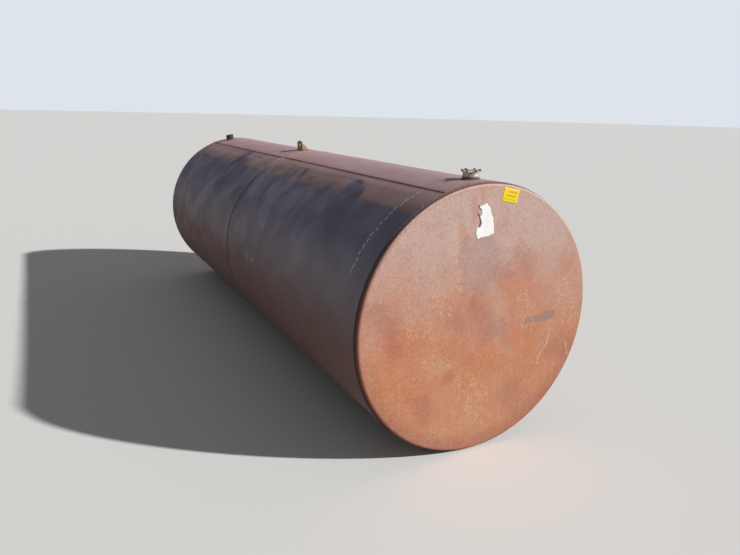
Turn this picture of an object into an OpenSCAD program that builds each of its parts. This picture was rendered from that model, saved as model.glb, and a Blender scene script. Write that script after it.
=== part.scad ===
// Horizontal steel storage tank lying on the ground: two rolled plate courses,
// flat flanged heads, a fill fitting, a lifting lug and a plugged pipe socket.
// Millimetres. X runs along the tank with the front head at +X, Z is up, and
// the origin is on the ground under the middle of the tank.

/* [Shell] */
// Outside diameter of the rolled shell
shell_d = 1219; // [900:1:1900]
// Length over both head faces
tank_l = 3658; // [2400:1:6000]
// Thickness of the shell plate
wall = 4.5; // [3:0.1:8]
// Angle of the front course's long lap, from the top towards the left
front_lap_angle = 20.2; // [15:0.1:60]
// Angle of the rear course's long lap, from the top towards the left
rear_lap_angle = 20.8; // [15:0.1:60]
// Arc length over which the lapped plate rises to its edge
lap_rise_l = 72; // [50:1:90]
// Distance from the front head's face to the girth joint
girth_setback = 1872; // [1200:1:2400]
// Length of the front course that is tucked under the rear course
girth_lap_l = 38; // [20:1:80]
// Length of the slope that tucks it under
joggle_l = 14; // [8:1:30]
// Gap round the plates that slip into the shell: the tucked end and the head flanges
plate_gap = 0.8; // [0.5:0.1:0.9]
// Depth by which the shell is pressed flat along the ground
ground_flat = 0.5; // [0.2:0.1:2]

/* [Heads] */
// Thickness of the head plate
head_wall = 4.5; // [3:0.1:8]
// Outside radius of the head's turned corner
knuckle_r = 20; // [12:1:40]
// Straight flange of the head behind its corner
flange_l = 55; // [30:1:120]

/* [Welds] */
// Straight flange that stays bare between the head weld and the corner
head_weld_land = 1.5; // [0.5:0.1:8]
// Height of the girth weld's crown over the shell
girth_crown = 1.5; // [0.5:0.1:4]
// Leg of the fillet welds round the sockets
socket_weld_leg = 7; // [3:0.5:12]
// Leg of the fillet welds along the lifting lug
lug_weld_leg = 6; // [3:0.5:10]

/* [Fill fitting] */
// Distance of the fill fitting behind the front head's face
fill_setback = 130; // [90:1:400]
// Angle of the fill fitting, from the top towards the left
fill_angle = 1; // [-8:0.5:8]
// Outside diameter of the fill socket
fill_socket_d = 73; // [60:0.5:90]
// Bore of the fill socket
fill_bore_d = 57; // [40:0.5:58]
// Height of the fill socket over the shell
fill_socket_h = 8; // [6:0.5:60]
// Diameter of the adapter's round collar
adapter_d = 74; // [60:0.5:100]
// Height of the adapter's collar
adapter_h = 6; // [5:0.5:30]
// Wall of the adapter's spigot
adapter_wall = 5; // [3:0.5:8]
// Diameter of the cap's skirt
cap_d = 72; // [68:0.5:110]
// Height of the cap's skirt
cap_h = 14; // [13:0.5:40]
// Number of spanner lugs round the cap
cap_lugs = 6; // [3:1:10]
// Height of each spanner lug over the cap
cap_lug_h = 8; // [4:0.5:20]
// Width of each spanner lug
cap_lug_w = 10; // [6:0.5:16]
// How far each spanner lug reaches past the skirt
cap_lug_reach = 7; // [3:0.5:20]

/* [Lifting lug] */
// Distance of the lug's middle behind the girth weld
lug_setback = 128; // [60:1:400]
// Angle of the lug, from the top towards the left
lug_angle = 4; // [-8:0.5:9]
// Length of the lug plate along the tank
lug_l = 90; // [60:1:110]
// Height of the lug plate over the shell
lug_h = 60; // [50:1:120]
// Thickness of the lug plate
lug_t = 8; // [6:0.5:20]
// Diameter of the lifting eye
eye_d = 22; // [16:0.5:30]
// Height of the eye's middle over the shell
eye_h = 36; // [30:1:60]
// Thickness of the gusset
gusset_t = 8; // [5:0.5:15]
// Reach of the gusset out from the lug plate
gusset_reach = 36; // [20:1:80]

/* [Rear socket] */
// Distance of the rear socket in front of the rear head's face
rear_setback = 150; // [100:1:500]
// Angle of the rear socket, from the top towards the left
rear_angle = 10; // [-8:0.5:10]
// Outside diameter of the rear socket
rear_socket_d = 62; // [50:0.5:90]
// Bore of the rear socket at its thread
rear_bore_d = 44.4; // [25:0.1:46]
// Height of the rear socket over the shell
rear_socket_h = 40; // [20:0.5:80]
// Chamfer at the socket mouths
mouth_chamfer = 2; // [0.5:0.1:3]
// Length of the plug that closes the rear socket
plug_l = 22; // [14:1:26]
// Width of the plug's square recess
plug_square = 19; // [10:0.5:26]
// Depth of the plug's square recess
plug_square_depth = 12; // [5:0.5:14]

/* [Hidden] */
$fn = 180;
// Gap left between pieces that slip into each other
slip = 0.3;
// Distance that each long lap stops short of the girth joint
lap_inset = 3;
// How far the sockets stand through the plate on the inside
socket_inside = 12;
// Extra length given to every cutting tool
cut = 1;
// Reach of the large blocks used to trim solids
far = 2 * (shell_d + tank_l);

shell_r = shell_d / 2;
axis_z = shell_r - ground_flat;
front_face_x = tank_l / 2;
rear_face_x = -tank_l / 2;
girth_x = front_face_x - girth_setback;
head_r = shell_r - wall - plate_gap;
head_weld_leg = wall + plate_gap - ground_flat - 0.2;
shell_end_inset = knuckle_r + head_weld_land + head_weld_leg;
front_end_x = front_face_x - shell_end_inset;
rear_end_x = rear_face_x + shell_end_inset;
tuck_r = shell_r - wall - plate_gap;
lap_rise_a = lap_rise_l / shell_r * 180 / PI;
lap_offset = wall / sin(lap_rise_a);
fill_x = front_face_x - fill_setback;
lug_x = girth_x - lug_setback;
rear_x = rear_face_x + rear_setback;
spigot_d = fill_bore_d - 2 * slip;
collar_z = shell_r + fill_socket_h;
cap_z = collar_z + adapter_h;
gasket_h = 3;
cap_top_t = 7;
neck_d = cap_d - 2 * 6;
cap_boss_d = 34;
cap_boss_h = 3;

// Moves a solid drawn about the tank's own axis up to its place over the ground
module on_axis() {
    translate([0, 0, axis_z]) children();
}

// Turns a piece that stands on the top line to its clock angle, towards the left
module at_clock(a) {
    rotate([a, 0, 0]) children();
}

// Revolves a section drawn as radius against length along the tank
module revolve() {
    rotate([0, 90, 0]) rotate_extrude() children();
}

// Extrudes a section drawn across the tank from one station to another
module along(x0, x1) {
    translate([x0, 0, 0]) rotate([90, 0, 90]) linear_extrude(height = x1 - x0) children();
}

// The shell's outside, for trimming pieces that stand on it
module shell_body() {
    along(-tank_l, tank_l) circle(r = shell_r, $fn = 720);
}

// Takes away all that is below the ground, which presses the shell flat
module above_ground() {
    difference() {
        children();
        translate([-far / 2, -far / 2, -far - axis_z]) cube(far);
    }
}

// Section of the front course, with its rear end tucked in under the rear course
module front_course_section() {
    tuck_end_x = girth_x - girth_lap_l;
    slope_end_x = girth_x + joggle_l;
    polygon([
        [shell_r, front_end_x],
        [shell_r, slope_end_x],
        [tuck_r, girth_x],
        [tuck_r, tuck_end_x],
        [tuck_r - wall, tuck_end_x],
        [tuck_r - wall, girth_x],
        [shell_r - wall, slope_end_x],
        [shell_r - wall, front_end_x]
    ]);
}

// Section of the rear course, a plain tube
module rear_course_section() {
    translate([shell_r - wall, rear_end_x]) square([wall, girth_x - rear_end_x]);
}

// The plate that laps over: it rises from the round shell to a square edge that faces left
module lap_section() {
    difference() {
        intersection() {
            rotate(-lap_rise_a) translate([-lap_offset, 0]) circle(r = shell_r);
            polygon([
                [0, 0],
                [0, 2 * shell_r],
                [2 * shell_r * tan(lap_rise_a), 2 * shell_r]
            ]);
        }
        circle(r = shell_r - wall / 2);
    }
}

// Corner fillet beside the lap's edge
module seam_weld_section() {
    difference() {
        intersection() {
            translate([0, shell_r]) circle(r = wall);
            translate([-2 * wall, shell_r - wall]) square([2 * wall, 3 * wall]);
        }
        circle(r = shell_r);
    }
}

// Round hole through the shell for a socket that stands on it
module socket_hole(d) {
    cylinder(h = 2 * shell_r, d = d + 2 * slip);
}

module front_course() {
    color("#5d4a47")
    on_axis() above_ground() difference() {
        union() {
            revolve() front_course_section();
            at_clock(front_lap_angle) along(girth_x + joggle_l + lap_inset, front_end_x) lap_section();
        }
        translate([fill_x, 0, 0]) at_clock(fill_angle) socket_hole(fill_socket_d);
    }
}

module rear_course() {
    color("#5d4a47")
    on_axis() above_ground() difference() {
        union() {
            revolve() rear_course_section();
            at_clock(rear_lap_angle) along(rear_end_x, girth_x - lap_inset) lap_section();
        }
        translate([rear_x, 0, 0]) at_clock(rear_angle) socket_hole(rear_socket_d);
    }
}

// Flat head with a turned corner and a flange, face at length 0, drawn as radius against length
module head_section(r, t, corner) {
    difference() {
        union() {
            translate([0, -corner]) square([r - corner, corner]);
            translate([0, -corner - flange_l]) square([r, flange_l]);
            translate([r - corner, -corner]) circle(r = corner);
        }
        translate([-cut, -corner - flange_l - cut]) square([r - t + cut, flange_l + cut]);
        translate([-cut, -corner - cut]) square([r - corner + cut, corner - t + cut]);
        translate([r - corner, -corner]) circle(r = corner - t);
    }
}

module head() {
    revolve() head_section(head_r, head_wall, knuckle_r);
}

module front_head() {
    color("#b0694a")
    on_axis() translate([front_face_x, 0, 0]) head();
}

module rear_head() {
    color("#a0604a")
    on_axis() translate([rear_face_x, 0, 0]) mirror([1, 0, 0]) head();
}

// Fillet that closes the shell's end on to the head's flange, a little lower than the shell
module head_weld() {
    revolve() polygon([
        [head_r, 0],
        [head_r + head_weld_leg, 0],
        [head_r + 0.7 * head_weld_leg, 0.7 * head_weld_leg],
        [head_r, head_weld_leg]
    ]);
}

module front_head_weld() {
    color("#6b4238")
    on_axis() translate([front_end_x, 0, 0]) head_weld();
}

module rear_head_weld() {
    color("#6b4238")
    on_axis() translate([rear_end_x, 0, 0]) mirror([1, 0, 0]) head_weld();
}

// Weld that fills the groove at the tucked joint, with a low crown over it
module girth_weld() {
    color("#4c3431")
    on_axis() above_ground() translate([girth_x, 0, 0]) revolve() polygon([
        [tuck_r, 0],
        [shell_r, 0],
        [shell_r + 0.6 * girth_crown, joggle_l * 0.12],
        [shell_r + girth_crown, joggle_l * 0.35],
        [shell_r + girth_crown, joggle_l * 0.6],
        [shell_r + 0.6 * girth_crown, joggle_l * 0.85],
        [shell_r, joggle_l]
    ]);
}

module front_seam_weld() {
    color("#4c3431")
    on_axis() at_clock(front_lap_angle) along(girth_x + joggle_l + lap_inset, front_end_x) seam_weld_section();
}

module rear_seam_weld() {
    color("#4c3431")
    on_axis() at_clock(rear_lap_angle) along(rear_end_x, girth_x - lap_inset) seam_weld_section();
}

// Threaded pipe socket set through the shell, its foot inside and its mouth over the shell
module socket(d, bore, height) {
    z0 = shell_r - socket_inside;
    z1 = shell_r + height;
    difference() {
        translate([0, 0, z0]) union() {
            cylinder(h = z1 - z0 - mouth_chamfer, d = d);
            translate([0, 0, z1 - z0 - mouth_chamfer])
                cylinder(h = mouth_chamfer, d1 = d, d2 = d - 2 * mouth_chamfer);
        }
        translate([0, 0, z0 - cut]) cylinder(h = z1 - z0 + 2 * cut, d = bore);
        translate([0, 0, z1 - mouth_chamfer])
            cylinder(h = mouth_chamfer + cut, d1 = bore, d2 = bore + 2 * (mouth_chamfer + cut));
    }
}

// Fillet weld round a socket, following the curve of the shell
module socket_weld(d, leg) {
    drop = shell_r - sqrt(shell_r * shell_r - (d / 2 + leg) * (d / 2 + leg));
    difference() {
        translate([0, 0, shell_r - drop])
            cylinder(h = leg + drop, d1 = d + 2 * (leg + drop), d2 = d);
        shell_body();
        cylinder(h = 2 * shell_r, d = d);
    }
}

module fill_socket() {
    color("#5a3f38")
    on_axis() translate([fill_x, 0, 0]) at_clock(fill_angle)
        socket(fill_socket_d, fill_bore_d, fill_socket_h);
}

module fill_socket_weld() {
    color("#4c3431")
    on_axis() translate([fill_x, 0, 0]) at_clock(fill_angle)
        socket_weld(fill_socket_d, socket_weld_leg);
}

// Cast adapter: a spigot screwed into the socket, a round collar and the neck that the cap closes
module fill_adapter() {
    color("#9a9c8c")
    on_axis() translate([fill_x, 0, 0]) at_clock(fill_angle) difference() {
        union() {
            translate([0, 0, shell_r]) cylinder(h = fill_socket_h, d = spigot_d);
            translate([0, 0, collar_z]) cylinder(h = adapter_h, d = adapter_d);
            translate([0, 0, cap_z]) cylinder(h = cap_h - cap_top_t - gasket_h, d = neck_d - 2 * slip);
        }
        translate([0, 0, shell_r - cut])
            cylinder(h = fill_socket_h + adapter_h + cap_h, d = spigot_d - 2 * adapter_wall);
    }
}

// Flat ring that seals the cap on the neck
module fill_cap_gasket() {
    color("#22201e")
    on_axis() translate([fill_x, 0, 0]) at_clock(fill_angle)
        translate([0, 0, cap_z + cap_h - cap_top_t - gasket_h]) difference() {
            cylinder(h = gasket_h, d = neck_d - 2 * slip);
            translate([0, 0, -cut]) cylinder(h = gasket_h + 2 * cut, d = spigot_d - 2 * adapter_wall);
        }
}

// Cast cap with a skirt, a raised boss and a crown of spanner lugs
module fill_cap() {
    color("#a7a899")
    on_axis() translate([fill_x, 0, 0]) at_clock(fill_angle) translate([0, 0, cap_z]) difference() {
        union() {
            cylinder(h = cap_h, d = cap_d);
            translate([0, 0, cap_h - cut]) cylinder(h = cap_boss_h + cut, d = cap_boss_d);
            for (i = [0 : cap_lugs - 1])
                rotate(i * 360 / cap_lugs) cap_lug();
        }
        translate([0, 0, -cut]) cylinder(h = cap_h - cap_top_t + cut, d = neck_d);
    }
}

// One spanner lug: a block on the cap's edge that reaches out past the skirt
module cap_lug() {
    root_r = cap_d / 2 - 12;
    tip_r = cap_d / 2 + cap_lug_reach;
    intersection() {
        translate([root_r, -cap_lug_w / 2, cap_h - cap_top_t])
            cube([tip_r - root_r, cap_lug_w, cap_top_t + cap_lug_h]);
        cylinder(h = cap_h + cap_lug_h, r = tip_r);
    }
}

// Outline of the lug plate: straight sides and a round top with the lifting eye
module lug_outline() {
    corner_r = lug_h / 2;
    difference() {
        union() {
            translate([-lug_l / 2, -2 * wall]) square([lug_l, lug_h - corner_r + 2 * wall]);
            translate([-lug_l / 2 + corner_r, 0]) square([lug_l - 2 * corner_r, lug_h]);
            for (side = [-1, 1])
                translate([side * (lug_l / 2 - corner_r), lug_h - corner_r]) circle(r = corner_r);
        }
        translate([0, eye_h]) circle(d = eye_d);
    }
}

// Moves a piece drawn at the lug's foot on to the shell
module at_lug() {
    on_axis() translate([lug_x, 0, 0]) at_clock(lug_angle) children();
}

module lug_plate_body() {
    translate([0, lug_t / 2, shell_r]) rotate([90, 0, 0])
        linear_extrude(height = lug_t) lug_outline();
}

module lug_plate() {
    color("#8a5c4c")
    at_lug() difference() {
        lug_plate_body();
        shell_body();
    }
}

// Triangular gusset square to the lug plate, at its front end
module gusset_body() {
    translate([lug_l / 2 - gusset_t, 0, shell_r]) rotate([90, 0, 90])
        linear_extrude(height = gusset_t) polygon([
            [lug_t / 2, -2 * wall],
            [lug_t / 2 + gusset_reach, -2 * wall],
            [lug_t / 2 + gusset_reach, 4],
            [lug_t / 2 + 6, lug_h - 20],
            [lug_t / 2, lug_h - 20]
        ]);
}

module lug_gusset() {
    color("#96604e")
    at_lug() difference() {
        gusset_body();
        shell_body();
    }
}

module lug_plate_weld() {
    color("#4c3431")
    at_lug() difference() {
        for (side = [-1, 1])
            translate([-lug_l / 2, side * lug_t / 2, shell_r]) rotate([0, 90, 0])
                cylinder(h = lug_l, r = lug_weld_leg);
        lug_plate_body();
        gusset_body();
        shell_body();
    }
}

module lug_gusset_weld() {
    color("#4c3431")
    at_lug() difference() {
        translate([lug_l / 2, lug_t / 2, shell_r - 0.5]) rotate([-90, 0, 0])
            cylinder(h = gusset_reach, r = lug_weld_leg);
        lug_plate_body();
        gusset_body();
        shell_body();
    }
}

module rear_socket() {
    color("#4e3a35")
    on_axis() translate([rear_x, 0, 0]) at_clock(rear_angle)
        socket(rear_socket_d, rear_bore_d, rear_socket_h);
}

module rear_socket_weld() {
    color("#4c3431")
    on_axis() translate([rear_x, 0, 0]) at_clock(rear_angle)
        socket_weld(rear_socket_d, socket_weld_leg);
}

// Flush plug screwed into the rear socket, with a square recess for its key
module rear_plug() {
    plug_top = shell_r + rear_socket_h - mouth_chamfer;
    color("#3f312d")
    on_axis() translate([rear_x, 0, 0]) at_clock(rear_angle) difference() {
        translate([0, 0, plug_top - plug_l]) cylinder(h = plug_l, d = rear_bore_d - 2 * slip);
        translate([-plug_square / 2, -plug_square / 2, plug_top - plug_square_depth])
            cube([plug_square, plug_square, plug_square_depth + cut]);
    }
}

front_course();
rear_course();
front_head();
rear_head();
front_head_weld();
rear_head_weld();
girth_weld();
front_seam_weld();
rear_seam_weld();
fill_socket();
fill_socket_weld();
fill_adapter();
fill_cap();
fill_cap_gasket();
lug_plate();
lug_gusset();
lug_plate_weld();
lug_gusset_weld();
rear_socket();
rear_socket_weld();
rear_plug();
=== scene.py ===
"""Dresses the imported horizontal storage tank: dented plate, rippled welds, fittings, labels and rust."""

import logging
import math
import random
from dataclasses import dataclass, field
from enum import Enum
from typing import Callable, Iterable, Sequence

import bmesh
import bpy
import numpy as np
from mathutils import Matrix, Vector


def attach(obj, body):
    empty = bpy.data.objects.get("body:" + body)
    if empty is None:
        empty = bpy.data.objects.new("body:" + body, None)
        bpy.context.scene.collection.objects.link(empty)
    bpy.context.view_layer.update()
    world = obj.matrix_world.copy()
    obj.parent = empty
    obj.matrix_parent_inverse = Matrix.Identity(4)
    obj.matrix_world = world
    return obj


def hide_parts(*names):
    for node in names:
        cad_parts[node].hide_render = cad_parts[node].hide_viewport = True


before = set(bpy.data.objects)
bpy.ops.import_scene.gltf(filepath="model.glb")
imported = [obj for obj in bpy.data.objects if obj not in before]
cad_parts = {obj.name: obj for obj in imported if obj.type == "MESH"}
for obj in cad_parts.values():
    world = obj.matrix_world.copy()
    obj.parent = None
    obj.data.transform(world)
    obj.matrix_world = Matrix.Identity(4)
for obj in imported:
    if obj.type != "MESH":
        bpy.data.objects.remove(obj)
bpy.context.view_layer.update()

LOG = logging.getLogger("tank")
BODY = "root"

Colour = tuple[float, float, float, float]
Material = bpy.types.Material
Piece = bpy.types.Object
Point = tuple[float, float]
Socket = bpy.types.NodeSocket
# Both ends of a soft stroke, the half width where it is full and the distance over which it fades
Stroke = tuple[float, float, float, float, float, float]

# Shared sizes, in metres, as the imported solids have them
SHELL_R = 0.6095
AXIS_Z = 0.609
PLATE = 0.0045
HALF_LENGTH = 1.829
HEAD_R = 0.6042
KNUCKLE = 0.010
FLANGE = 0.055
COURSE_END = 1.8029
GIRTH_X = -0.043
JOGGLE = 0.014
# Height under which no bead or drop may lie, so that the part stays on the ground
BEAD_FLOOR = 0.006


class Side(Enum):
    """End of the tank that a piece belongs to."""

    FRONT = 1
    REAR = -1


def paint(red: int, green: int, blue: int) -> Colour:
    """Turns a display colour into the linear colour that a shader takes.

    Args:
        red: Red, 0 to 255.
        green: Green, 0 to 255.
        blue: Blue, 0 to 255.

    Returns:
        The linear colour with full alpha.
    """
    def linear(value: int) -> float:
        """Undoes the display curve for one channel."""
        part = value / 255.0
        return part / 12.92 if part <= 0.04045 else ((part + 0.055) / 1.055) ** 2.4

    return (linear(red), linear(green), linear(blue), 1.0)


def on_shell(x: float, angle: float, lift: float = 0.0) -> Vector:
    """Finds a place on the shell.

    Args:
        x: Station along the tank.
        angle: Degrees from the top, positive to the right.
        lift: Height over the shell.

    Returns:
        The point in the tank's frame.
    """
    turn = math.radians(angle)
    radius = SHELL_R + lift
    return Vector((x, radius * math.sin(turn), AXIS_Z + radius * math.cos(turn)))


def seat(x: float, angle: float) -> Matrix:
    """Gives the frame of a fitting that stands on the shell.

    Args:
        x: Station along the tank.
        angle: Degrees from the top, positive to the right.

    Returns:
        A matrix whose origin lies on the shell and whose Z points outwards.
    """
    return Matrix.Translation(on_shell(x, angle)) @ Matrix.Rotation(-math.radians(angle), 4, "X")


# ---- Node sketching


@dataclass(frozen=True)
class Wire:
    """A node's output; arithmetic on it adds Math nodes."""

    sketch: "Sketch"
    socket: Socket

    def __add__(self, other: object) -> "Wire":
        """Adds something to the wire."""
        return self.sketch.math("ADD", self, other)

    def __radd__(self, other: object) -> "Wire":
        """Adds the wire to something."""
        return self.sketch.math("ADD", other, self)

    def __sub__(self, other: object) -> "Wire":
        """Takes something from the wire."""
        return self.sketch.math("SUBTRACT", self, other)

    def __rsub__(self, other: object) -> "Wire":
        """Takes the wire from something."""
        return self.sketch.math("SUBTRACT", other, self)

    def __mul__(self, other: object) -> "Wire":
        """Multiplies the wire by something."""
        return self.sketch.math("MULTIPLY", self, other)

    def __rmul__(self, other: object) -> "Wire":
        """Multiplies something by the wire."""
        return self.sketch.math("MULTIPLY", other, self)

    def __truediv__(self, other: object) -> "Wire":
        """Divides the wire by something."""
        return self.sketch.math("DIVIDE", self, other)

    def __pow__(self, other: object) -> "Wire":
        """Raises the wire to a power."""
        return self.sketch.math("POWER", self, other)

    def __abs__(self) -> "Wire":
        """Drops the wire's sign."""
        return self.sketch.math("ABSOLUTE", self)


class Sketch:
    """Short way of writing a shader's or a geometry tree's nodes."""

    def __init__(self, tree: bpy.types.NodeTree) -> None:
        """Starts on a tree.

        Args:
            tree: The node tree to add to.
        """
        self.tree = tree

    def node(self, kind: str, **settings: object) -> bpy.types.Node:
        """Adds a node.

        Args:
            kind: The node's type name.
            **settings: Properties set on the node.

        Returns:
            The new node.
        """
        made = self.tree.nodes.new(kind)
        for name, value in settings.items():
            setattr(made, name, value)
        return made

    def feed(self, socket: Socket, value: object) -> None:
        """Links a socket or sets its value.

        Args:
            socket: The input to feed.
            value: A wire, another socket or a plain value.
        """
        if isinstance(value, Wire):
            value = value.socket
        if isinstance(value, Socket):
            self.tree.links.new(value, socket)
        elif value is not None:
            socket.default_value = value

    def math(self, action: str, first: object, second: object = None) -> Wire:
        """Adds a Math node.

        Args:
            action: The operation's name.
            first: First operand.
            second: Second operand.

        Returns:
            The result.
        """
        made = self.node("ShaderNodeMath", operation=action)
        for socket, value in zip(made.inputs, (first, second)):
            self.feed(socket, value)
        return Wire(self, made.outputs[0])

    def most(self, first: object, second: object) -> Wire:
        """Takes the larger of two numbers."""
        return self.math("MAXIMUM", first, second)

    def least(self, first: object, second: object) -> Wire:
        """Takes the smaller of two numbers."""
        return self.math("MINIMUM", first, second)

    def vector(self, action: str, first: object, second: object = None, scale: object = None) -> Wire:
        """Adds a Vector Math node.

        Args:
            action: The operation's name.
            first: First vector.
            second: Second vector.
            scale: Factor for the scale operation.

        Returns:
            The vector, or the number for operations that give one.
        """
        made = self.node("ShaderNodeVectorMath", operation=action)
        self.feed(made.inputs[0], first)
        self.feed(made.inputs[1], second)
        if action == "SCALE":
            self.feed(made.inputs["Scale"], scale)
        return Wire(self, made.outputs["Value" if action in ("LENGTH", "DOT_PRODUCT") else "Vector"])

    def split(self, vector: object) -> list[Wire]:
        """Splits a vector into its three parts.

        Args:
            vector: The vector.

        Returns:
            Its parts, in the order x, y and z.
        """
        made = self.node("ShaderNodeSeparateXYZ")
        self.feed(made.inputs[0], vector)
        return [Wire(self, part) for part in made.outputs]

    def join(self, x: object, y: object, z: object = 0.0) -> Wire:
        """Joins three numbers into a vector.

        Args:
            x: First part.
            y: Second part.
            z: Third part.

        Returns:
            The vector.
        """
        made = self.node("ShaderNodeCombineXYZ")
        for socket, value in zip(made.inputs, (x, y, z)):
            self.feed(socket, value)
        return Wire(self, made.outputs[0])

    def ramp(self, value: object, low: float, high: float, start: float = 0.0, end: float = 1.0) -> Wire:
        """Maps a value smoothly from one range to another.

        Args:
            value: The number to map.
            low: Where the ramp starts.
            high: Where the ramp ends.
            start: Result at and before low.
            end: Result at and after high.

        Returns:
            The mapped number.
        """
        made = self.node("ShaderNodeMapRange", interpolation_type="SMOOTHSTEP")
        for name, number in zip(
            ("Value", "From Min", "From Max", "To Min", "To Max"), (value, low, high, start, end),
        ):
            self.feed(made.inputs[name], number)
        return Wire(self, made.outputs[0])


class Shader(Sketch):
    """A material under construction, with its patterns on object coordinates."""

    def __init__(self, name: str) -> None:
        """Makes the material.

        Args:
            name: The material's name.
        """
        self.material = bpy.data.materials.new(name)
        self.material.use_nodes = True
        super().__init__(self.material.node_tree)
        self.surface = self.tree.nodes["Principled BSDF"]
        self.place = Wire(self, self.node("ShaderNodeTexCoord").outputs["Object"])

    def noise(
        self, scale: float, detail: float, rough: float, place: Wire | None = None,
        offset: float = 0.0, distort: float = 0.0,
    ) -> Wire:
        """Adds a fractal noise.

        Args:
            scale: Cells per metre.
            detail: Number of finer layers.
            rough: Strength of the finer layers.
            place: Coordinates to read; the object's own if left out.
            offset: Shift that makes this noise unlike the others.
            distort: Warp of the noise.

        Returns:
            The noise value.
        """
        moved = self.vector("ADD", place or self.place, (offset, offset * 0.7, offset * 1.3))
        made = self.node("ShaderNodeTexNoise")
        self.feed(made.inputs["Vector"], moved)
        for label, number in zip(
            ("Scale", "Detail", "Roughness", "Distortion"), (scale, detail, rough, distort),
        ):
            made.inputs[label].default_value = number
        return Wire(self, made.outputs[0])

    def sector(self, angle: Wire, low: float, high: float, start: float = 0.0, end: float = 1.0) -> Wire:
        """Maps an angle as ramp does, between limits in degrees."""
        return self.ramp(angle, math.radians(low), math.radians(high), start, end)

    def mix(self, amount: object, first: object, second: object) -> Wire:
        """Mixes two colours.

        Args:
            amount: How much of the second shows.
            first: First colour.
            second: Second colour.

        Returns:
            The mixed colour.
        """
        made = self.node("ShaderNodeMix", data_type="RGBA", blend_type="MIX")
        for slot, value in ((0, amount), (6, first), (7, second)):
            self.feed(made.inputs[slot], value)
        return Wire(self, made.outputs[2])

    def shade(self, colour: object, *layers: tuple[Wire, float]) -> Wire:
        """Lightens and darkens a colour by some noises.

        Args:
            colour: The colour to vary.
            *layers: Each noise, with how strongly it counts.

        Returns:
            The varied colour.
        """
        level: object = 1.0
        for noise, depth in layers:
            level = level + (noise - 0.5) * depth
        return self.vector("SCALE", colour, scale=level)

    def stroke(self, plane: Wire, row: Stroke) -> Wire:
        """Masks a straight stroke with round ends.

        Args:
            plane: Coordinates in the stroke's plane.
            row: The stroke.

        Returns:
            One on the stroke and nought away from it.
        """
        tail, tip, (width, soft) = Vector((*row[:2], 0.0)), Vector((*row[2:4], 0.0)), row[4:]
        run = tip - tail
        away = self.vector("SUBTRACT", plane, tuple(tail))
        along = self.vector("DOT_PRODUCT", away, tuple(run)) / run.length_squared
        foot = self.vector("SCALE", tuple(run), scale=self.least(self.most(along, 0.0), 1.0))
        return self.ramp(
            self.vector("LENGTH", self.vector("SUBTRACT", away, foot)), width, width + soft, 1.0, 0.0,
        )

    def strokes(self, plane: Wire, rows: Iterable[Stroke]) -> Wire:
        """Masks several strokes.

        Args:
            plane: Coordinates in the strokes' plane.
            rows: The strokes.

        Returns:
            The highest mask at each place.
        """
        total: object = 0.0
        for row in rows:
            total = self.most(self.stroke(plane, row), total)
        return total

    def bump(self, *layers: tuple[Wire, float, float]) -> None:
        """Stacks bump layers on the surface.

        Args:
            *layers: Height, depth in metres and strength of each layer.
        """
        last = None
        for height, depth, strength in layers:
            made = self.node("ShaderNodeBump")
            made.inputs["Strength"].default_value = strength
            made.inputs["Distance"].default_value = depth
            self.feed(made.inputs["Height"], height)
            self.feed(made.inputs["Normal"], last)
            last = made.outputs[0]
        self.feed(self.surface.inputs["Normal"], last)

    def finish(self, colour: object, rough: object, metal: object = 0.0, gloss: float = 0.3) -> Material:
        """Feeds the surface and hands the material over.

        Args:
            colour: Base colour.
            rough: Roughness.
            metal: Metallic share.
            gloss: Specular level.

        Returns:
            The finished material.
        """
        values = {"Base Color": colour, "Roughness": rough, "Metallic": metal, "Specular IOR Level": gloss}
        for label, value in values.items():
            self.feed(self.surface.inputs[label], value)
        return self.material


# ---- Finishes


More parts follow.
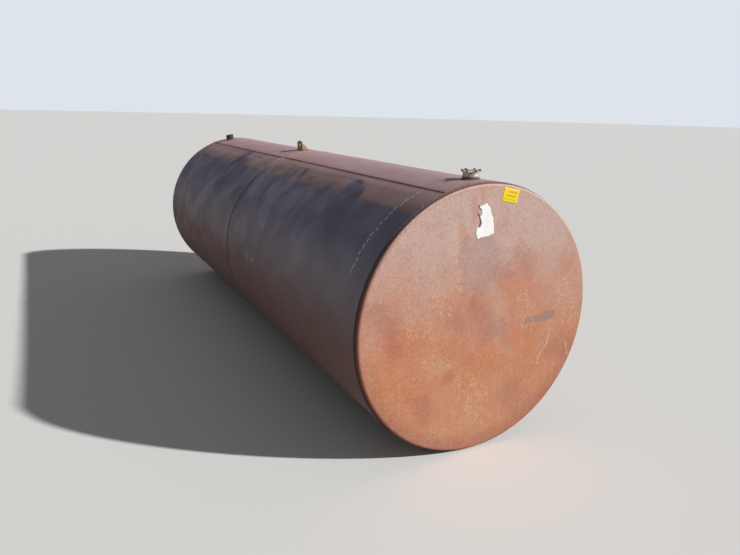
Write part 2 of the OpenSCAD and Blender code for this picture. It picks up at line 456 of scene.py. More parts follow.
@dataclass(frozen=True)
class ShellFinish:
    """Brown weathered plate: dusty pink on the top; on the left, painted grey sheen and painted bluish shade,
    painted dent shadows and highlights, and painted shade by the front rim.
    """

    name: str = "weathered_shell_plate"
    dusty: Colour = paint(184, 150, 151)
    brown: Colour = paint(160, 130, 126)
    painted_side_shade: Colour = paint(124, 122, 144)
    painted_side_sheen: Colour = paint(166, 158, 167)
    umber: Colour = paint(148, 118, 112)
    rust: Colour = paint(160, 106, 88)
    soot_and_painted_shade: Colour = paint(72, 66, 78)
    chalk: Colour = paint(244, 240, 232)
    scuff_and_painted_sheen: Colour = paint(150, 148, 156)
    scrape_x: float = 1.660
    scrape_half: float = 0.0023
    scrape_pitch: float = 0.030
    scrape_from: float = -20.0
    scrape_to: float = -69.0
    lap_angle: float = -20.2
    chips: tuple[Stroke, ...] = (
        (0.385, -0.912, 0.388, -0.936, 0.0045, 0.003), (0.498, -0.908, 0.503, -0.926, 0.0040, 0.003),
    )
    # Scuffs; the strokes near x -0.45 are a painted sheen on the lit side of a crease.
    scuffs_and_painted_sheen: tuple[Stroke, ...] = (
        (1.331, -0.723, 1.470, -0.700, 0.004, 0.040), (1.470, -0.700, 1.560, -0.650, 0.004, 0.040),
        (1.560, -0.650, 1.585, -0.580, 0.004, 0.040), (1.180, -0.625, 1.210, -0.700, 0.004, 0.040),
        (-0.478, -0.300, -0.452, -0.470, 0.004, 0.040), (-0.452, -0.470, -0.352, -0.608, 0.004, 0.040),
        (-0.352, -0.608, -0.487, -0.737, 0.004, 0.040),
    )
    # Painted shadows of the dents near the shade line.
    painted_dent_shadows: tuple[Stroke, ...] = (
        (1.150, -0.308, 1.200, -0.360, 0.042, 0.022), (1.216, -0.385, 1.222, -0.390, 0.076, 0.026),
        (0.501, -0.285, 0.557, -0.370, 0.011, 0.016), (0.396, -0.305, 0.442, -0.352, 0.006, 0.020),
        (0.087, -0.318, 0.107, -0.372, 0.008, 0.018), (0.950, -0.380, 1.040, -0.398, 0.012, 0.022),
        (-0.670, -0.305, -0.650, -0.370, 0.050, 0.034), (-0.560, -0.350, -0.520, -0.370, 0.030, 0.040),
    )
    # Painted shade on the dark sides of dents and a crease below the shade line.
    painted_dent_shades: tuple[Stroke, ...] = (
        (-0.660, -0.360, -0.590, -0.500, 0.020, 0.110), (-0.590, -0.500, -0.570, -0.640, 0.020, 0.110),
        (-0.570, -0.640, -0.640, -0.740, 0.020, 0.110), (1.230, -0.420, 1.290, -0.560, 0.020, 0.110),
    )

    def chances(self, s: Shader, key: Wire) -> list[Wire]:
        """Draws three fixed random numbers for a whole number.

        Args:
            s: The material under construction.
            key: The whole number.

        Returns:
            Three numbers from 0 to 1.
        """
        made = s.node("ShaderNodeTexWhiteNoise", noise_dimensions="1D")
        s.feed(made.inputs["W"], key)
        return s.split(made.outputs["Color"])

    def lines(self, s: Shader, x: Wire, arc: Wire, plane: Wire) -> Wire:
        """Masks the dashed scrape and the two chips in the plate's coat.

        Args:
            s: The material under construction.
            x: Station along the tank.
            arc: Distance round the tank from the top.
            plane: Both of them together.

        Returns:
            One where the bare chalky metal shows.
        """
        tick = arc / self.scrape_pitch
        part = s.math("FRACT", tick) - 0.5
        chance = self.chances(s, s.math("FLOOR", tick))
        wander = (s.noise(9.0, 2.0, 0.5, offset=30.0) - 0.5) * 0.022
        lean = part * (chance[1] * 0.016 + -0.004)
        jump = (chance[0] - 0.5) * 0.011 + lean
        off = abs(x + (wander + jump) - self.scrape_x)
        reach = chance[2] * 0.22 + 0.24
        dash = s.ramp(abs(part) - reach, 0.04, -0.04)
        start, end = SHELL_R * math.radians(self.scrape_from), SHELL_R * math.radians(self.scrape_to)
        span = s.ramp(arc, start, start - 0.14, 0.6, 1.0) * s.ramp(arc, end, end + 0.06)
        span = span * s.ramp(arc, start + 0.004, start)
        scrape = s.ramp(off, self.scrape_half + 0.0016, self.scrape_half) * (dash * span)
        chips = s.strokes(plane, self.chips) * s.ramp(s.noise(120.0, 2.0, 0.5), 0.38, 0.48)
        return s.most(scrape, chips)

    def material(self) -> Material:
        """Builds the finish.

        Returns:
            The material.
        """
        s = Shader(self.name)
        x, y, z = s.split(s.place)
        turn = s.math("ARCTAN2", y, z - AXIS_Z)
        arc = turn * SHELL_R
        plane = s.join(x, arc)

        cloud = s.noise(1.7, 4.0, 0.55, distort=0.5)
        patch = s.noise(6.0, 5.0, 0.6, offset=3.0, distort=0.4)
        grain = s.noise(85.0, 4.0, 0.65, offset=5.0)
        fine = s.noise(380.0, 3.0, 0.6, offset=9.0)
        sweep = s.noise(1.0, 4.0, 0.6, place=s.join(x * 22.0, arc * 1.6, 0.0), offset=2.0)

        ragged = turn + (cloud - 0.5) * 0.08
        away = abs(ragged)
        colour = s.mix(s.sector(away, 22, 40), self.dusty, self.brown)
        # Painted grey sheen, then from the shade line down painted bluish shade, on the left side only.
        painted_side_band = s.sector(ragged, -46, -60) * s.sector(ragged, -100, -78)
        colour = s.mix(painted_side_band * 0.8, colour, self.painted_side_sheen)
        painted_side_band = s.sector(ragged, -34.6, -38.2) * s.sector(ragged, -74, -52)
        # Painted dent shadows join the painted bluish shade, darker still in the lit strip above the shade
        # line.
        hollow = s.strokes(plane, self.painted_dent_shadows)
        colour = s.mix(s.most(hollow, painted_side_band) * 0.88, colour, self.painted_side_shade)
        colour = s.mix(hollow * s.sector(turn, -38, -33, 0.0, 0.42), colour, self.soot_and_painted_shade)
        # Painted shade on the dark sides of dents and a crease.
        colour = s.mix(s.strokes(plane, self.painted_dent_shades) * 0.3, colour, self.soot_and_painted_shade)
        colour = s.mix(s.sector(away, 66, 108, 0.0, 0.9), colour, self.umber)
        colour = s.mix(s.ramp(patch, 0.52, 0.74, 0.0, 0.12), colour, self.rust)
        colour = s.mix(s.ramp(patch, 0.46, 0.30, 0.0, 0.07), colour, self.soot_and_painted_shade)

        lap = abs(arc - SHELL_R * math.radians(self.lap_angle))
        girth = abs(x - (GIRTH_X + 0.007))
        near = s.least(lap, girth) + (patch - 0.5) * 0.05
        colour = s.mix(s.ramp(near, 0.030, 0.004, 0.0, 0.35), colour, self.rust)
        # Painted shade along the girth joint, on the left below the shade line.
        painted_girth_shade = s.ramp(girth, 0.016, 0.008) * s.sector(turn, -30, -42)
        colour = s.mix(painted_girth_shade * 0.55, colour, self.soot_and_painted_shade)

        # Painted shade in a band by the front rim, on the left side below the lit top.
        rim = s.ramp(x, 1.655, 1.7) * s.sector(ragged, -24, -38)
        rim = rim * s.sector(turn, -96, -62)
        colour = s.mix(rim * 0.1, colour, self.soot_and_painted_shade)
        # Scuffs, with a painted sheen on the lit side of a crease.
        worn = s.strokes(plane, self.scuffs_and_painted_sheen) * s.ramp(patch, 0.3, 0.6)
        colour = s.mix(worn * 0.34, colour, self.scuff_and_painted_sheen)

        colour = s.shade(colour, (grain, 0.46), (fine, 0.46), (sweep, 0.10), (cloud, 0.14))
        specks = s.ramp(s.noise(150.0, 3.0, 0.6, offset=21.0), 0.62, 0.72, 0.0, 0.40)
        colour = s.mix(specks, colour, self.soot_and_painted_shade)
        colour = s.mix(self.lines(s, x, arc, plane), colour, self.chalk)
        s.bump((s.noise(12.0, 2.0, 0.5, offset=7.0), 0.0003, 0.40), (grain, 0.00008, 0.5))
        rough = s.ramp(patch, 0.35, 0.65, 0.56, 0.78)
        return s.finish(colour, rough, gloss=0.13)


@dataclass(frozen=True)
class HeadFinish:
    """Rusted flat head: pinkish grey above, orange below, with fine specks, runs and scratches, painted shade
    on the turned corner and a painted highlight along its top.
    """

    name: str
    marked: bool = True
    pink: Colour = paint(200, 168, 158)
    tan: Colour = paint(196, 150, 132)
    orange: Colour = paint(196, 136, 104)
    ember: Colour = paint(196, 116, 78)
    maroon: Colour = paint(160, 100, 86)
    violet: Colour = paint(166, 132, 126)
    straw: Colour = paint(226, 196, 148)
    pit: Colour = paint(104, 68, 60)
    glue_and_painted_shade: Colour = paint(66, 48, 44)
    smear: Colour = paint(150, 124, 118)
    bare_metal_and_highlight: Colour = paint(222, 188, 168)
    embers: tuple[Stroke, ...] = (
        (-0.43, 0.58, -0.33, 0.52, 0.03, 0.10), (-0.18, 0.70, -0.04, 0.69, 0.02, 0.10),
        (0.16, 0.78, 0.29, 0.65, 0.02, 0.10), (0.18, 0.56, 0.28, 0.47, 0.02, 0.09),
        (-0.13, 0.51, 0.07, 0.43, 0.02, 0.10), (-0.48, 0.39, -0.32, 0.33, 0.02, 0.09),
        (-0.089, 1.16, -0.076, 1.066, 0.004, 0.030), (-0.036, 1.185, -0.036, 1.15, 0.004, 0.022),
        (-0.117, 1.03, -0.113, 0.95, 0.006, 0.030),
    )
    maroons: tuple[Stroke, ...] = (
        (-0.54, 0.72, -0.47, 0.66, 0.010, 0.07), (-0.46, 0.65, -0.44, 0.56, 0.010, 0.05),
        (-0.154, 0.66, -0.11, 0.61, 0.010, 0.06), (0.066, 0.83, 0.138, 0.82, 0.010, 0.06),
        (0.172, 0.91, 0.239, 0.85, 0.010, 0.07), (0.418, 0.424, 0.499, 0.438, 0.020, 0.07),
        (-0.034, 0.69, 0.034, 0.56, 0.010, 0.07), (-0.289, 0.265, -0.273, 0.225, 0.010, 0.08),
        (0.199, 0.253, 0.256, 0.161, 0.020, 0.08), (-0.17, 0.38, -0.16, 0.39, 0.005, 0.04),
        (-0.60, 0.83, -0.606, 0.76, 0.002, 0.04),
    )
    violets: tuple[Stroke, ...] = (
        (-0.083, 0.955, 0.020, 0.945, 0.030, 0.040), (-0.080, 0.88, 0.009, 0.84, 0.040, 0.040),
        (-0.069, 0.79, 0.001, 0.77, 0.020, 0.040), (0.09, 0.58, 0.11, 0.56, 0.015, 0.050),
    )
    straws: tuple[Stroke, ...] = (
        (-0.129, 1.037, -0.117, 0.96, 0.003, 0.030), (-0.160, 0.92, -0.125, 0.80, 0.012, 0.035),
        (-0.252, 0.763, -0.196, 0.69, 0.020, 0.060), (-0.283, 0.632, -0.262, 0.49, 0.012, 0.060),
        (-0.236, 0.496, -0.19, 0.43, 0.012, 0.050), (-0.091, 0.361, 0.062, 0.254, 0.014, 0.050),
        (-0.057, 0.279, 0.056, 0.151, 0.012, 0.060), (0.422, 0.757, 0.531, 0.565, 0.016, 0.060),
        (0.125, 0.952, 0.171, 0.925, 0.010, 0.040), (0.226, 0.706, 0.268, 0.601, 0.012, 0.060),
        (-0.372, 0.645, -0.332, 0.593, 0.010, 0.050),
    )
    wipes: tuple[Stroke, ...] = (
        (0.258, 0.582, 0.335, 0.588, 0.007, 0.012), (0.335, 0.588, 0.412, 0.598, 0.015, 0.014),
    )
    scratches: tuple[Stroke, ...] = (
        (0.402, 0.493, 0.395, 0.450, 0.0018, 0.0022), (0.395, 0.450, 0.349, 0.397, 0.0016, 0.0022),
        (0.349, 0.397, 0.348, 0.357, 0.0018, 0.0022), (0.512, 0.446, 0.535, 0.381, 0.0014, 0.0022),
    )
    # Glue and painted shadow under the lifted left edge of the paper.
    glue_and_curl_shadows: tuple[Stroke, ...] = (
        (-0.058, 1.124, -0.046, 1.108, 0.0022, 0.0022), (-0.058, 1.090, -0.046, 1.074, 0.0026, 0.0022),
        (-0.047, 1.073, -0.041, 1.058, 0.0030, 0.0022), (-0.041, 1.056, -0.047, 1.036, 0.0030, 0.0022),
    )

    def marks(self, s: Shader, colour: Wire, plane: Wire, warped: Wire) -> Wire:
        """Adds the wiped smear, the scratches, and the glue with painted shadow under the lifted paper edge.

        Args:
            s: The material under construction.
            colour: The colour so far.
            plane: Coordinates on the face.
            warped: The same, with ragged edges.

        Returns:
            The marked colour.
        """
        torn = s.ramp(s.noise(70.0, 4.0, 0.7, offset=25.0), 0.36, 0.54, 0.35, 1.0)
        edge = s.vector("ADD", plane, s.vector("SCALE", s.vector("SUBTRACT", warped, plane), scale=0.45))
        wipe = s.strokes(edge, self.wipes)
        colour = s.mix(wipe * torn * 0.8, colour, self.smear)
        cuts = s.strokes(plane, self.scratches) * s.ramp(s.noise(130.0, 2.0, 0.6, offset=33.0), 0.36, 0.48)
        colour = s.mix(cuts * 0.85, colour, self.bare_metal_and_highlight)
        # Glue and painted shadow under the lifted paper edge.
        return s.mix(s.strokes(plane, self.glue_and_curl_shadows) * 0.9, colour, self.glue_and_painted_shade)

    def material(self) -> Material:
        """Builds the finish.

        Returns:
            The material.
        """
        s = Shader(self.name)
        x, y, z = s.split(s.place)
        plane = s.join(y, z)
        cloud = s.noise(2.4, 5.0, 0.6, offset=1.0, distort=0.8)
        patch = s.noise(8.0, 6.0, 0.66, offset=4.0, distort=0.5)
        mottle = s.noise(30.0, 5.0, 0.7, offset=6.0)
        grain = s.noise(95.0, 4.0, 0.7, offset=8.0)
        fine = s.noise(260.0, 4.0, 0.7, offset=11.0)
        push = s.join(patch - 0.5, mottle - 0.5, 0.0)
        warped = s.vector("ADD", plane, s.vector("SCALE", push, scale=0.14))

        height = z + (cloud - 0.5) * 0.5
        lower = s.ramp(height, 1.04, 0.70)
        colour = s.mix(lower, self.pink, self.tan)
        colour = s.mix(s.ramp(height, 0.82, 0.40), colour, self.orange)
        glow = s.ramp(s.noise(5.5, 5.0, 0.62, offset=15.0, distort=0.4), 0.47, 0.68) * (lower * 0.28 + 0.05)
        colour = s.mix(glow, colour, self.ember)
        colour = s.mix(s.ramp(patch, 0.54, 0.74, 0.0, 0.26), colour, self.maroon)
        colour = s.mix(s.ramp(s.noise(4.2, 5.0, 0.6, offset=19.0), 0.52, 0.70, 0.0, 0.26), colour, self.pink)
        runs = s.noise(1.0, 3.0, 0.55, place=s.join(y * 34.0, z * 2.2, 0.0), offset=2.0)
        colour = s.mix(s.ramp(runs, 0.54, 0.72, 0.0, 0.12), colour, self.straw)

        straw_area = s.ramp(s.noise(6.0, 4.0, 0.6, offset=27.0, distort=0.6), 0.46, 0.66, 0.12, 0.45)
        if self.marked:
            for patches, share, tint in (
                (self.embers, 0.34, self.ember), (self.maroons, 0.34, self.maroon),
                (self.violets, 0.42, self.violet),
            ):
                colour = s.mix(s.strokes(warped, patches) * share, colour, tint)
            straw_area = s.most(straw_area, s.strokes(warped, self.straws))
        rim = s.vector("LENGTH", s.vector("SUBTRACT", plane, (0.0, AXIS_Z, 0.0)))
        low_rim = s.ramp(rim, 0.5, 0.59) * s.ramp(z, 0.7, 0.2)
        colour = s.mix(low_rim * 0.58, colour, self.maroon)
        colour = s.mix(s.ramp(rim, 0.584, 0.600, 0.0, 0.45), colour, self.maroon)
        # Painted shade on the turned corner and flange, where the head meets the shell.
        side = s.ramp(abs(x), HALF_LENGTH - 0.004, HALF_LENGTH - 0.01, 0.0, 0.72)
        colour = s.mix(side, colour, self.glue_and_painted_shade)
        # Painted highlight along the top of the turned corner.
        edge = s.ramp(abs(rim - 0.598), 0.004, 0.0012) * s.ramp(z, 0.9, 1.08)
        colour = s.mix(edge * 0.7, colour, self.bare_metal_and_highlight)

        colour = s.shade(colour, (grain, 0.60), (fine, 1.20), (mottle, 0.24), (patch, 0.14))
        specks = s.ramp(s.noise(130.0, 3.0, 0.7, offset=17.0), 0.53, 0.62) * straw_area
        colour = s.mix(specks * 0.58, colour, self.straw)
        colour = s.mix(s.ramp(s.noise(135.0, 3.0, 0.7, offset=23.0), 0.60, 0.70, 0.0, 0.50), colour, self.pit)
        if self.marked:
            colour = self.marks(s, colour, plane, warped)
        s.bump((patch, 0.0010, 0.35), (mottle, 0.0006, 0.45), (grain, 0.0004, 0.6))
        return s.finish(colour, s.ramp(patch, 0.35, 0.7, 0.62, 0.84), gloss=0.25)


@dataclass(frozen=True)
class SteelFinish:
    """Rusty small steel, such as weld beads, sockets and the lug, lighter on top with dust, which on the
    girth bead is a painted highlight.
    """

    name: str
    base: Colour
    rust: Colour
    pale: Colour
    rust_share: float = 0.5
    gloss: float = 0.3
    dust_and_highlight: Colour = paint(150, 112, 104)
    dust_and_highlight_share: float = 0.0

    def material(self) -> Material:
        """Builds the finish.

        Returns:
            The material.
        """
        s = Shader(self.name)
        patch = s.noise(24.0, 5.0, 0.65, offset=2.0, distort=0.4)
        grain = s.noise(210.0, 4.0, 0.7, offset=4.0)
        low, high = 0.62 - 0.3 * self.rust_share, 0.78 - 0.3 * self.rust_share
        colour = s.mix(s.ramp(patch, low, high), self.base, self.rust)
        # Dust on the top; on the girth bead it is a painted highlight of the lit bead.
        top = s.ramp(s.split(s.place)[2], 1.08, 1.19, 0.0, self.dust_and_highlight_share)
        colour = s.mix(top, colour, self.dust_and_highlight)
        colour = s.mix(s.ramp(grain, 0.56, 0.70, 0.0, 0.45), colour, self.pale)
        colour = s.mix(s.ramp(grain, 0.44, 0.30, 0.0, 0.5), colour, paint(40, 30, 28))
        s.bump((patch, 0.0006, 0.5), (grain, 0.0003, 0.7))
        return s.finish(colour, s.ramp(patch, 0.35, 0.65, 0.5, 0.82), gloss=self.gloss)


@dataclass(frozen=True)
class CastFinish:
    """Dull cast alloy with a grey green bloom and dirt patches, darker towards the foot and over the top."""

    name: str = "weathered_cast_alloy"
    metal: Colour = paint(178, 175, 158)
    bloom: Colour = paint(224, 221, 204)
    dirt: Colour = paint(52, 45, 40)

    def material(self) -> Material:
        """Builds the finish.

        Returns:
            The material.
        """
        s = Shader(self.name)
        patch = s.noise(38.0, 5.0, 0.65, offset=1.5)
        grain = s.noise(420.0, 3.0, 0.65, offset=3.0)
        colour = s.mix(s.ramp(patch, 0.42, 0.62), self.metal, self.bloom)
        colour = s.mix(s.ramp(s.noise(62.0, 4.0, 0.6, offset=8.0), 0.53, 0.66, 0.0, 0.75), colour, self.dirt)
        z = s.split(s.place)[2]
        # Darker towards the foot and over the top.
        colour = s.mix(s.ramp(z, 1.238, 1.226, 0.0, 0.50), colour, self.dirt)
        colour = s.mix(s.ramp(z, 1.2525, 1.2565, 0.0, 0.88), colour, self.dirt)
        s.bump((patch, 0.0005, 0.4), (grain, 0.0002, 0.6))
        rough, metal = s.ramp(patch, 0.4, 0.6, 0.42, 0.7), s.ramp(patch, 0.4, 0.62, 0.35, 0.05)
        return s.finish(colour, rough, metal=metal, gloss=0.4)


@dataclass(frozen=True)
class SealFinish:
    """Aged rubber."""

    name: str = "aged_rubber"
    base: Colour = paint(34, 33, 32)

    def material(self) -> Material:
        """Builds the finish.

        Returns:
            The material.
        """
        s = Shader(self.name)
        grain = s.noise(300.0, 3.0, 0.6)
        colour = s.mix(s.ramp(grain, 0.5, 0.7), self.base, paint(66, 62, 58))
        s.bump((grain, 0.0002, 0.5))
        return s.finish(colour, s.ramp(grain, 0.3, 0.7, 0.6, 0.85), gloss=0.3)


@dataclass(frozen=True)
class StickerFinish:
    """Printed yellow film with plain grey bars in place of any words."""

    corner: Point
    across: Point
    size: Point
    name: str = "yellow_film"
    bars: tuple[tuple[float, float, float, float], ...] = (
        (0.70, 0.84, 0.34, 0.90), (0.40, 0.54, 0.22, 0.86), (0.14, 0.26, 0.08, 0.24),
        (0.16, 0.22, 0.30, 0.88),
    )
    film: Colour = paint(252, 218, 24)
    ink: Colour = paint(112, 98, 30)

    def material(self) -> Material:
        """Builds the finish.

        Returns:
            The material.
        """
        s = Shader(self.name)
        _, y, z = s.split(s.place)
        dy = y - self.corner[0]
        dz = z - self.corner[1]
        u = (dy * self.across[0] + dz * self.across[1]) / self.size[0]
        v = (dz * self.across[0] - dy * self.across[1]) / self.size[1]
        bars: object = 0.0
        for low, high, start, end in self.bars:
            row = s.ramp(v, low - 0.02, low + 0.02) * s.ramp(v, high + 0.02, high - 0.02)
            run = s.ramp(u, start - 0.01, start + 0.01) * s.ramp(u, end + 0.01, end - 0.01)
            bars = s.most(row * run, bars)
        colour = s.mix(bars * 0.4, self.film, self.ink)
        soil = s.noise(60.0, 4.0, 0.6)
        colour = s.mix(s.ramp(soil, 0.5, 0.75, 0.0, 0.3), colour, paint(232, 196, 52))
        s.bump((soil, 0.0003, 0.3))
        return s.finish(colour, s.ramp(soil, 0.3, 0.7, 0.35, 0.5), gloss=0.4)


@dataclass(frozen=True)
class PaperFinish:
    """Weathered white paper, brown at its torn edges."""

    name: str = "torn_paper"
    sheet: Colour = paint(252, 250, 245)
    stain: Colour = paint(226, 208, 190)

    def material(self) -> Material:
        """Builds the finish.

        Returns:
            The material.
        """
        s = Shader(self.name)
        soil = s.noise(26.0, 5.0, 0.65, offset=2.0)
        fibre = s.noise(500.0, 3.0, 0.6)
        colour = s.mix(s.ramp(soil, 0.54, 0.74, 0.0, 0.55), self.sheet, self.stain)
        s.bump((soil, 0.0006, 0.5), (fibre, 0.0001, 0.5))
        return s.finish(colour, s.ramp(fibre, 0.3, 0.7, 0.75, 0.95), gloss=0.2)


# ---- Mesh making


def link(name: str, data: bpy.types.ID) -> Piece:
    """Makes an object and links it to the scene.

    Args:
        name: The object's name.
        data: Its mesh, curve, lamp or camera.

    Returns:
        The new object.
    """
    made = bpy.data.objects.new(name, data)
    bpy.context.scene.collection.objects.link(made)
    return made


def finish_mesh(mesh: bpy.types.Mesh, material: Material) -> None:
    """Gives a mesh its one material and smooth faces.

    Args:
        mesh: The mesh.
        material: Its finish.
    """
    mesh.materials.clear()
    mesh.materials.append(material)
    mesh.polygons.foreach_set("use_smooth", [True] * len(mesh.polygons))


def new_piece(
    name: str, verts: np.ndarray, faces: Sequence[Sequence[int]], material: Material, crease: float = 32.0,
) -> Piece:
    """Makes a smooth mesh object at the origin.

    Args:
        name: The piece's name.
        verts: Its points, in the tank's frame.
        faces: Its faces, as point numbers.
        material: Its finish.
        crease: Angle over which an edge stays sharp, in degrees.

    Returns:
        The new object, linked to the scene.
    """
    mesh = bpy.data.meshes.new(name)
    mesh.from_pydata([tuple(p) for p in verts], [], [tuple(f) for f in faces])
    finish_mesh(mesh, material)
    mesh.set_sharp_from_angle(angle=math.radians(crease))
    mesh.update()
    return link(name, mesh)


def loft_faces(rows: int, columns: int, close_rows: bool, close_columns: bool) -> np.ndarray:
    """Lists the quads of a lofted grid.

    Args:
        rows: Number of sections.
        columns: Number of points in each section.
        close_rows: Whether the last section joins the first.
        close_columns: Whether each section is a loop.

    Returns:
        The quads, as point numbers.
    """
    down = np.arange(rows if close_rows else rows - 1)
    over = np.arange(columns if close_columns else columns - 1)
    i, j = np.meshgrid(down, over, indexing="ij")
    i2, j2 = (i + 1) % rows, (j + 1) % columns
    quads = np.stack([i * columns + j, i2 * columns + j, i2 * columns + j2, i * columns + j2], axis=-1)
    return quads.reshape(-1, 4)


def face_out(piece: Piece) -> None:
    """Turns all faces of a closed piece outwards.

    Args:
        piece: The piece to turn.
    """
    made = bmesh.new()
    made.from_mesh(piece.data)
    bmesh.ops.remove_doubles(made, verts=made.verts, dist=1e-6)
    bmesh.ops.recalc_face_normals(made, faces=made.faces)
    made.to_mesh(piece.data)
    made.free()
    piece.data.update()


def turned_piece(
    name: str, profile: Sequence[Point], place: Matrix, material: Material, steps: int = 72,
    crease: float = 32.0,
) -> Piece:
    """Revolves a closed profile about a fitting's own axis.

    Args:
        name: The piece's name.
        profile: Radius and height of each corner, in order; a radius of nought lies on the axis.
        place: The fitting's frame.
        material: Its finish.
        steps: Number of steps round the axis.
        crease: Angle over which an edge stays sharp, in degrees.

    Returns:
        The new object.
    """
    turn = np.linspace(0.0, 2.0 * math.pi, steps, endpoint=False)
    rings = [np.stack([r * np.cos(turn), r * np.sin(turn), np.full(steps, h)], axis=1) for r, h in profile]
    verts = np.array([place @ Vector(p) for p in np.concatenate(rings)])
    piece = new_piece(name, verts, loft_faces(len(profile), steps, True, True), material, crease)
    face_out(piece)
    piece.data.set_sharp_from_angle(angle=math.radians(crease))
    return piece


def claim(piece: Piece, slot: str, *nodes: str) -> Piece:
    """Makes a piece ride on the tank and stand for its solids.

    Args:
        piece: The finished piece.
        slot: The record's material slot; not used.
        *nodes: The solids that it replaces.

    Returns:
        The piece.
    """
    if nodes:
        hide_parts(*nodes)
    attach(piece, BODY)
    purpose = ", ".join(nodes) or "the finish alone"
    LOG.info("%s: %d faces, for %s", piece.name, len(piece.data.polygons), purpose)
    return piece


# ---- Geometry Nodes


class Tree(Sketch):
    """A Geometry Nodes tree with named inputs."""

    def __init__(self, name: str) -> None:
        """Makes the tree with its geometry input and output.

        Args:
            name: The tree's name.
        """
        tree = bpy.data.node_groups.new(name, "GeometryNodeTree")
        super().__init__(tree)
        for way in ("INPUT", "OUTPUT"):
            tree.interface.new_socket("Geometry", in_out=way, socket_type="NodeSocketGeometry")
        self.entry = self.node("NodeGroupInput")
        self.exit = self.node("NodeGroupOutput")

    def number(self, name: str, kind: str = "Float") -> Wire:
        """Adds a named input.

        Args:
            name: The input's name.
            kind: Its socket type, without the word before it.

        Returns:
            The wire to read it from.
        """
        self.tree.interface.new_socket(name, in_out="INPUT", socket_type="NodeSocket" + kind)
        return Wire(self, self.entry.outputs[name])

    def random(self, low: object, high: object, seed: object) -> Wire:
        """Draws a number for each element.

        Args:
            low: Lowest number.
            high: Highest number.
            seed: Seed of the draw.

        Returns:
            The numbers.
        """
        made = self.node("FunctionNodeRandomValue", data_type="FLOAT")
        for name, value in (("Min", low), ("Max", high), ("Seed", seed)):
            self.feed(made.inputs[name], value)
        return Wire(self, made.outputs["Value"])

    def step(self, kind: str, geometry: Socket, slot: str = "Geometry", **inputs: object) -> bpy.types.Node:
        """Adds a node that takes geometry.

        Args:
            kind: The node's type name.
            geometry: The geometry to pass in.
            slot: Name of its geometry input.
            **inputs: Values for other inputs, with _ for a space in the name.

        Returns:
            The new node.
        """
        made = self.node(kind)
        self.feed(made.inputs[slot], geometry)
        for name, value in inputs.items():
            self.feed(made.inputs[name.replace("_", " ")], value)
        return made

    def close(self, geometry: Socket, material: Socket) -> None:
        """Ends the tree in Realize Instances and Set Material.

        Args:
            geometry: The geometry to end with.
            material: The finish to set.
        """
        real = self.step("GeometryNodeRealizeInstances", geometry)
        done = self.step("GeometryNodeSetMaterial", real.outputs["Geometry"], Material=material)
        self.feed(self.exit.inputs["Geometry"], done.outputs["Geometry"])


def grow(source: Piece, tree: bpy.types.NodeTree, name: str, values: dict[str, object]) -> Piece:
    """Runs a tree on an object and keeps the result as a plain mesh.

    Args:
        source: The object that carries the path or grid; it is removed afterwards.
        tree: The Geometry Nodes tree.
        name: The new piece's name.
        values: Values for the tree's named inputs.

    Returns:
        The new piece, a plain mesh at the origin.
    """
    modifier = source.modifiers.new("grow", "NODES")
    modifier.node_group = tree
    for item in tree.interface.items_tree:
        if item.item_type == "SOCKET" and item.in_out == "INPUT" and item.name in values:
            modifier[item.identifier] = values[item.name]
    bpy.context.view_layer.update()
    seen = source.evaluated_get(bpy.context.evaluated_depsgraph_get())
    mesh = bpy.data.meshes.new_from_object(seen)
    mesh.name = name
    source.modifiers.remove(modifier)
    bpy.data.objects.remove(source, do_unlink=True)
    return link(name, mesh)


@dataclass
class BeadPath:
    """A weld's centre line, with the outward direction at each point."""

    points: list[Vector]
    ups: list[Vector]
    closed: bool

    def object(self) -> Piece:
        """Makes the path a mesh of edges that a tree can read.

        Returns:
            The path object.
        """
        count = len(self.points)
        edges = [(i, i + 1) for i in range(count - 1)]
        if self.closed:
            edges.append((count - 1, 0))
        mesh = bpy.data.meshes.new("bead_path")
        mesh.from_pydata([tuple(p) for p in self.points], edges, [])
        up = mesh.attributes.new("up", "FLOAT_VECTOR", "POINT")
        up.data.foreach_set("vector", [part for u in self.ups for part in u])
        return link("bead_path", mesh)


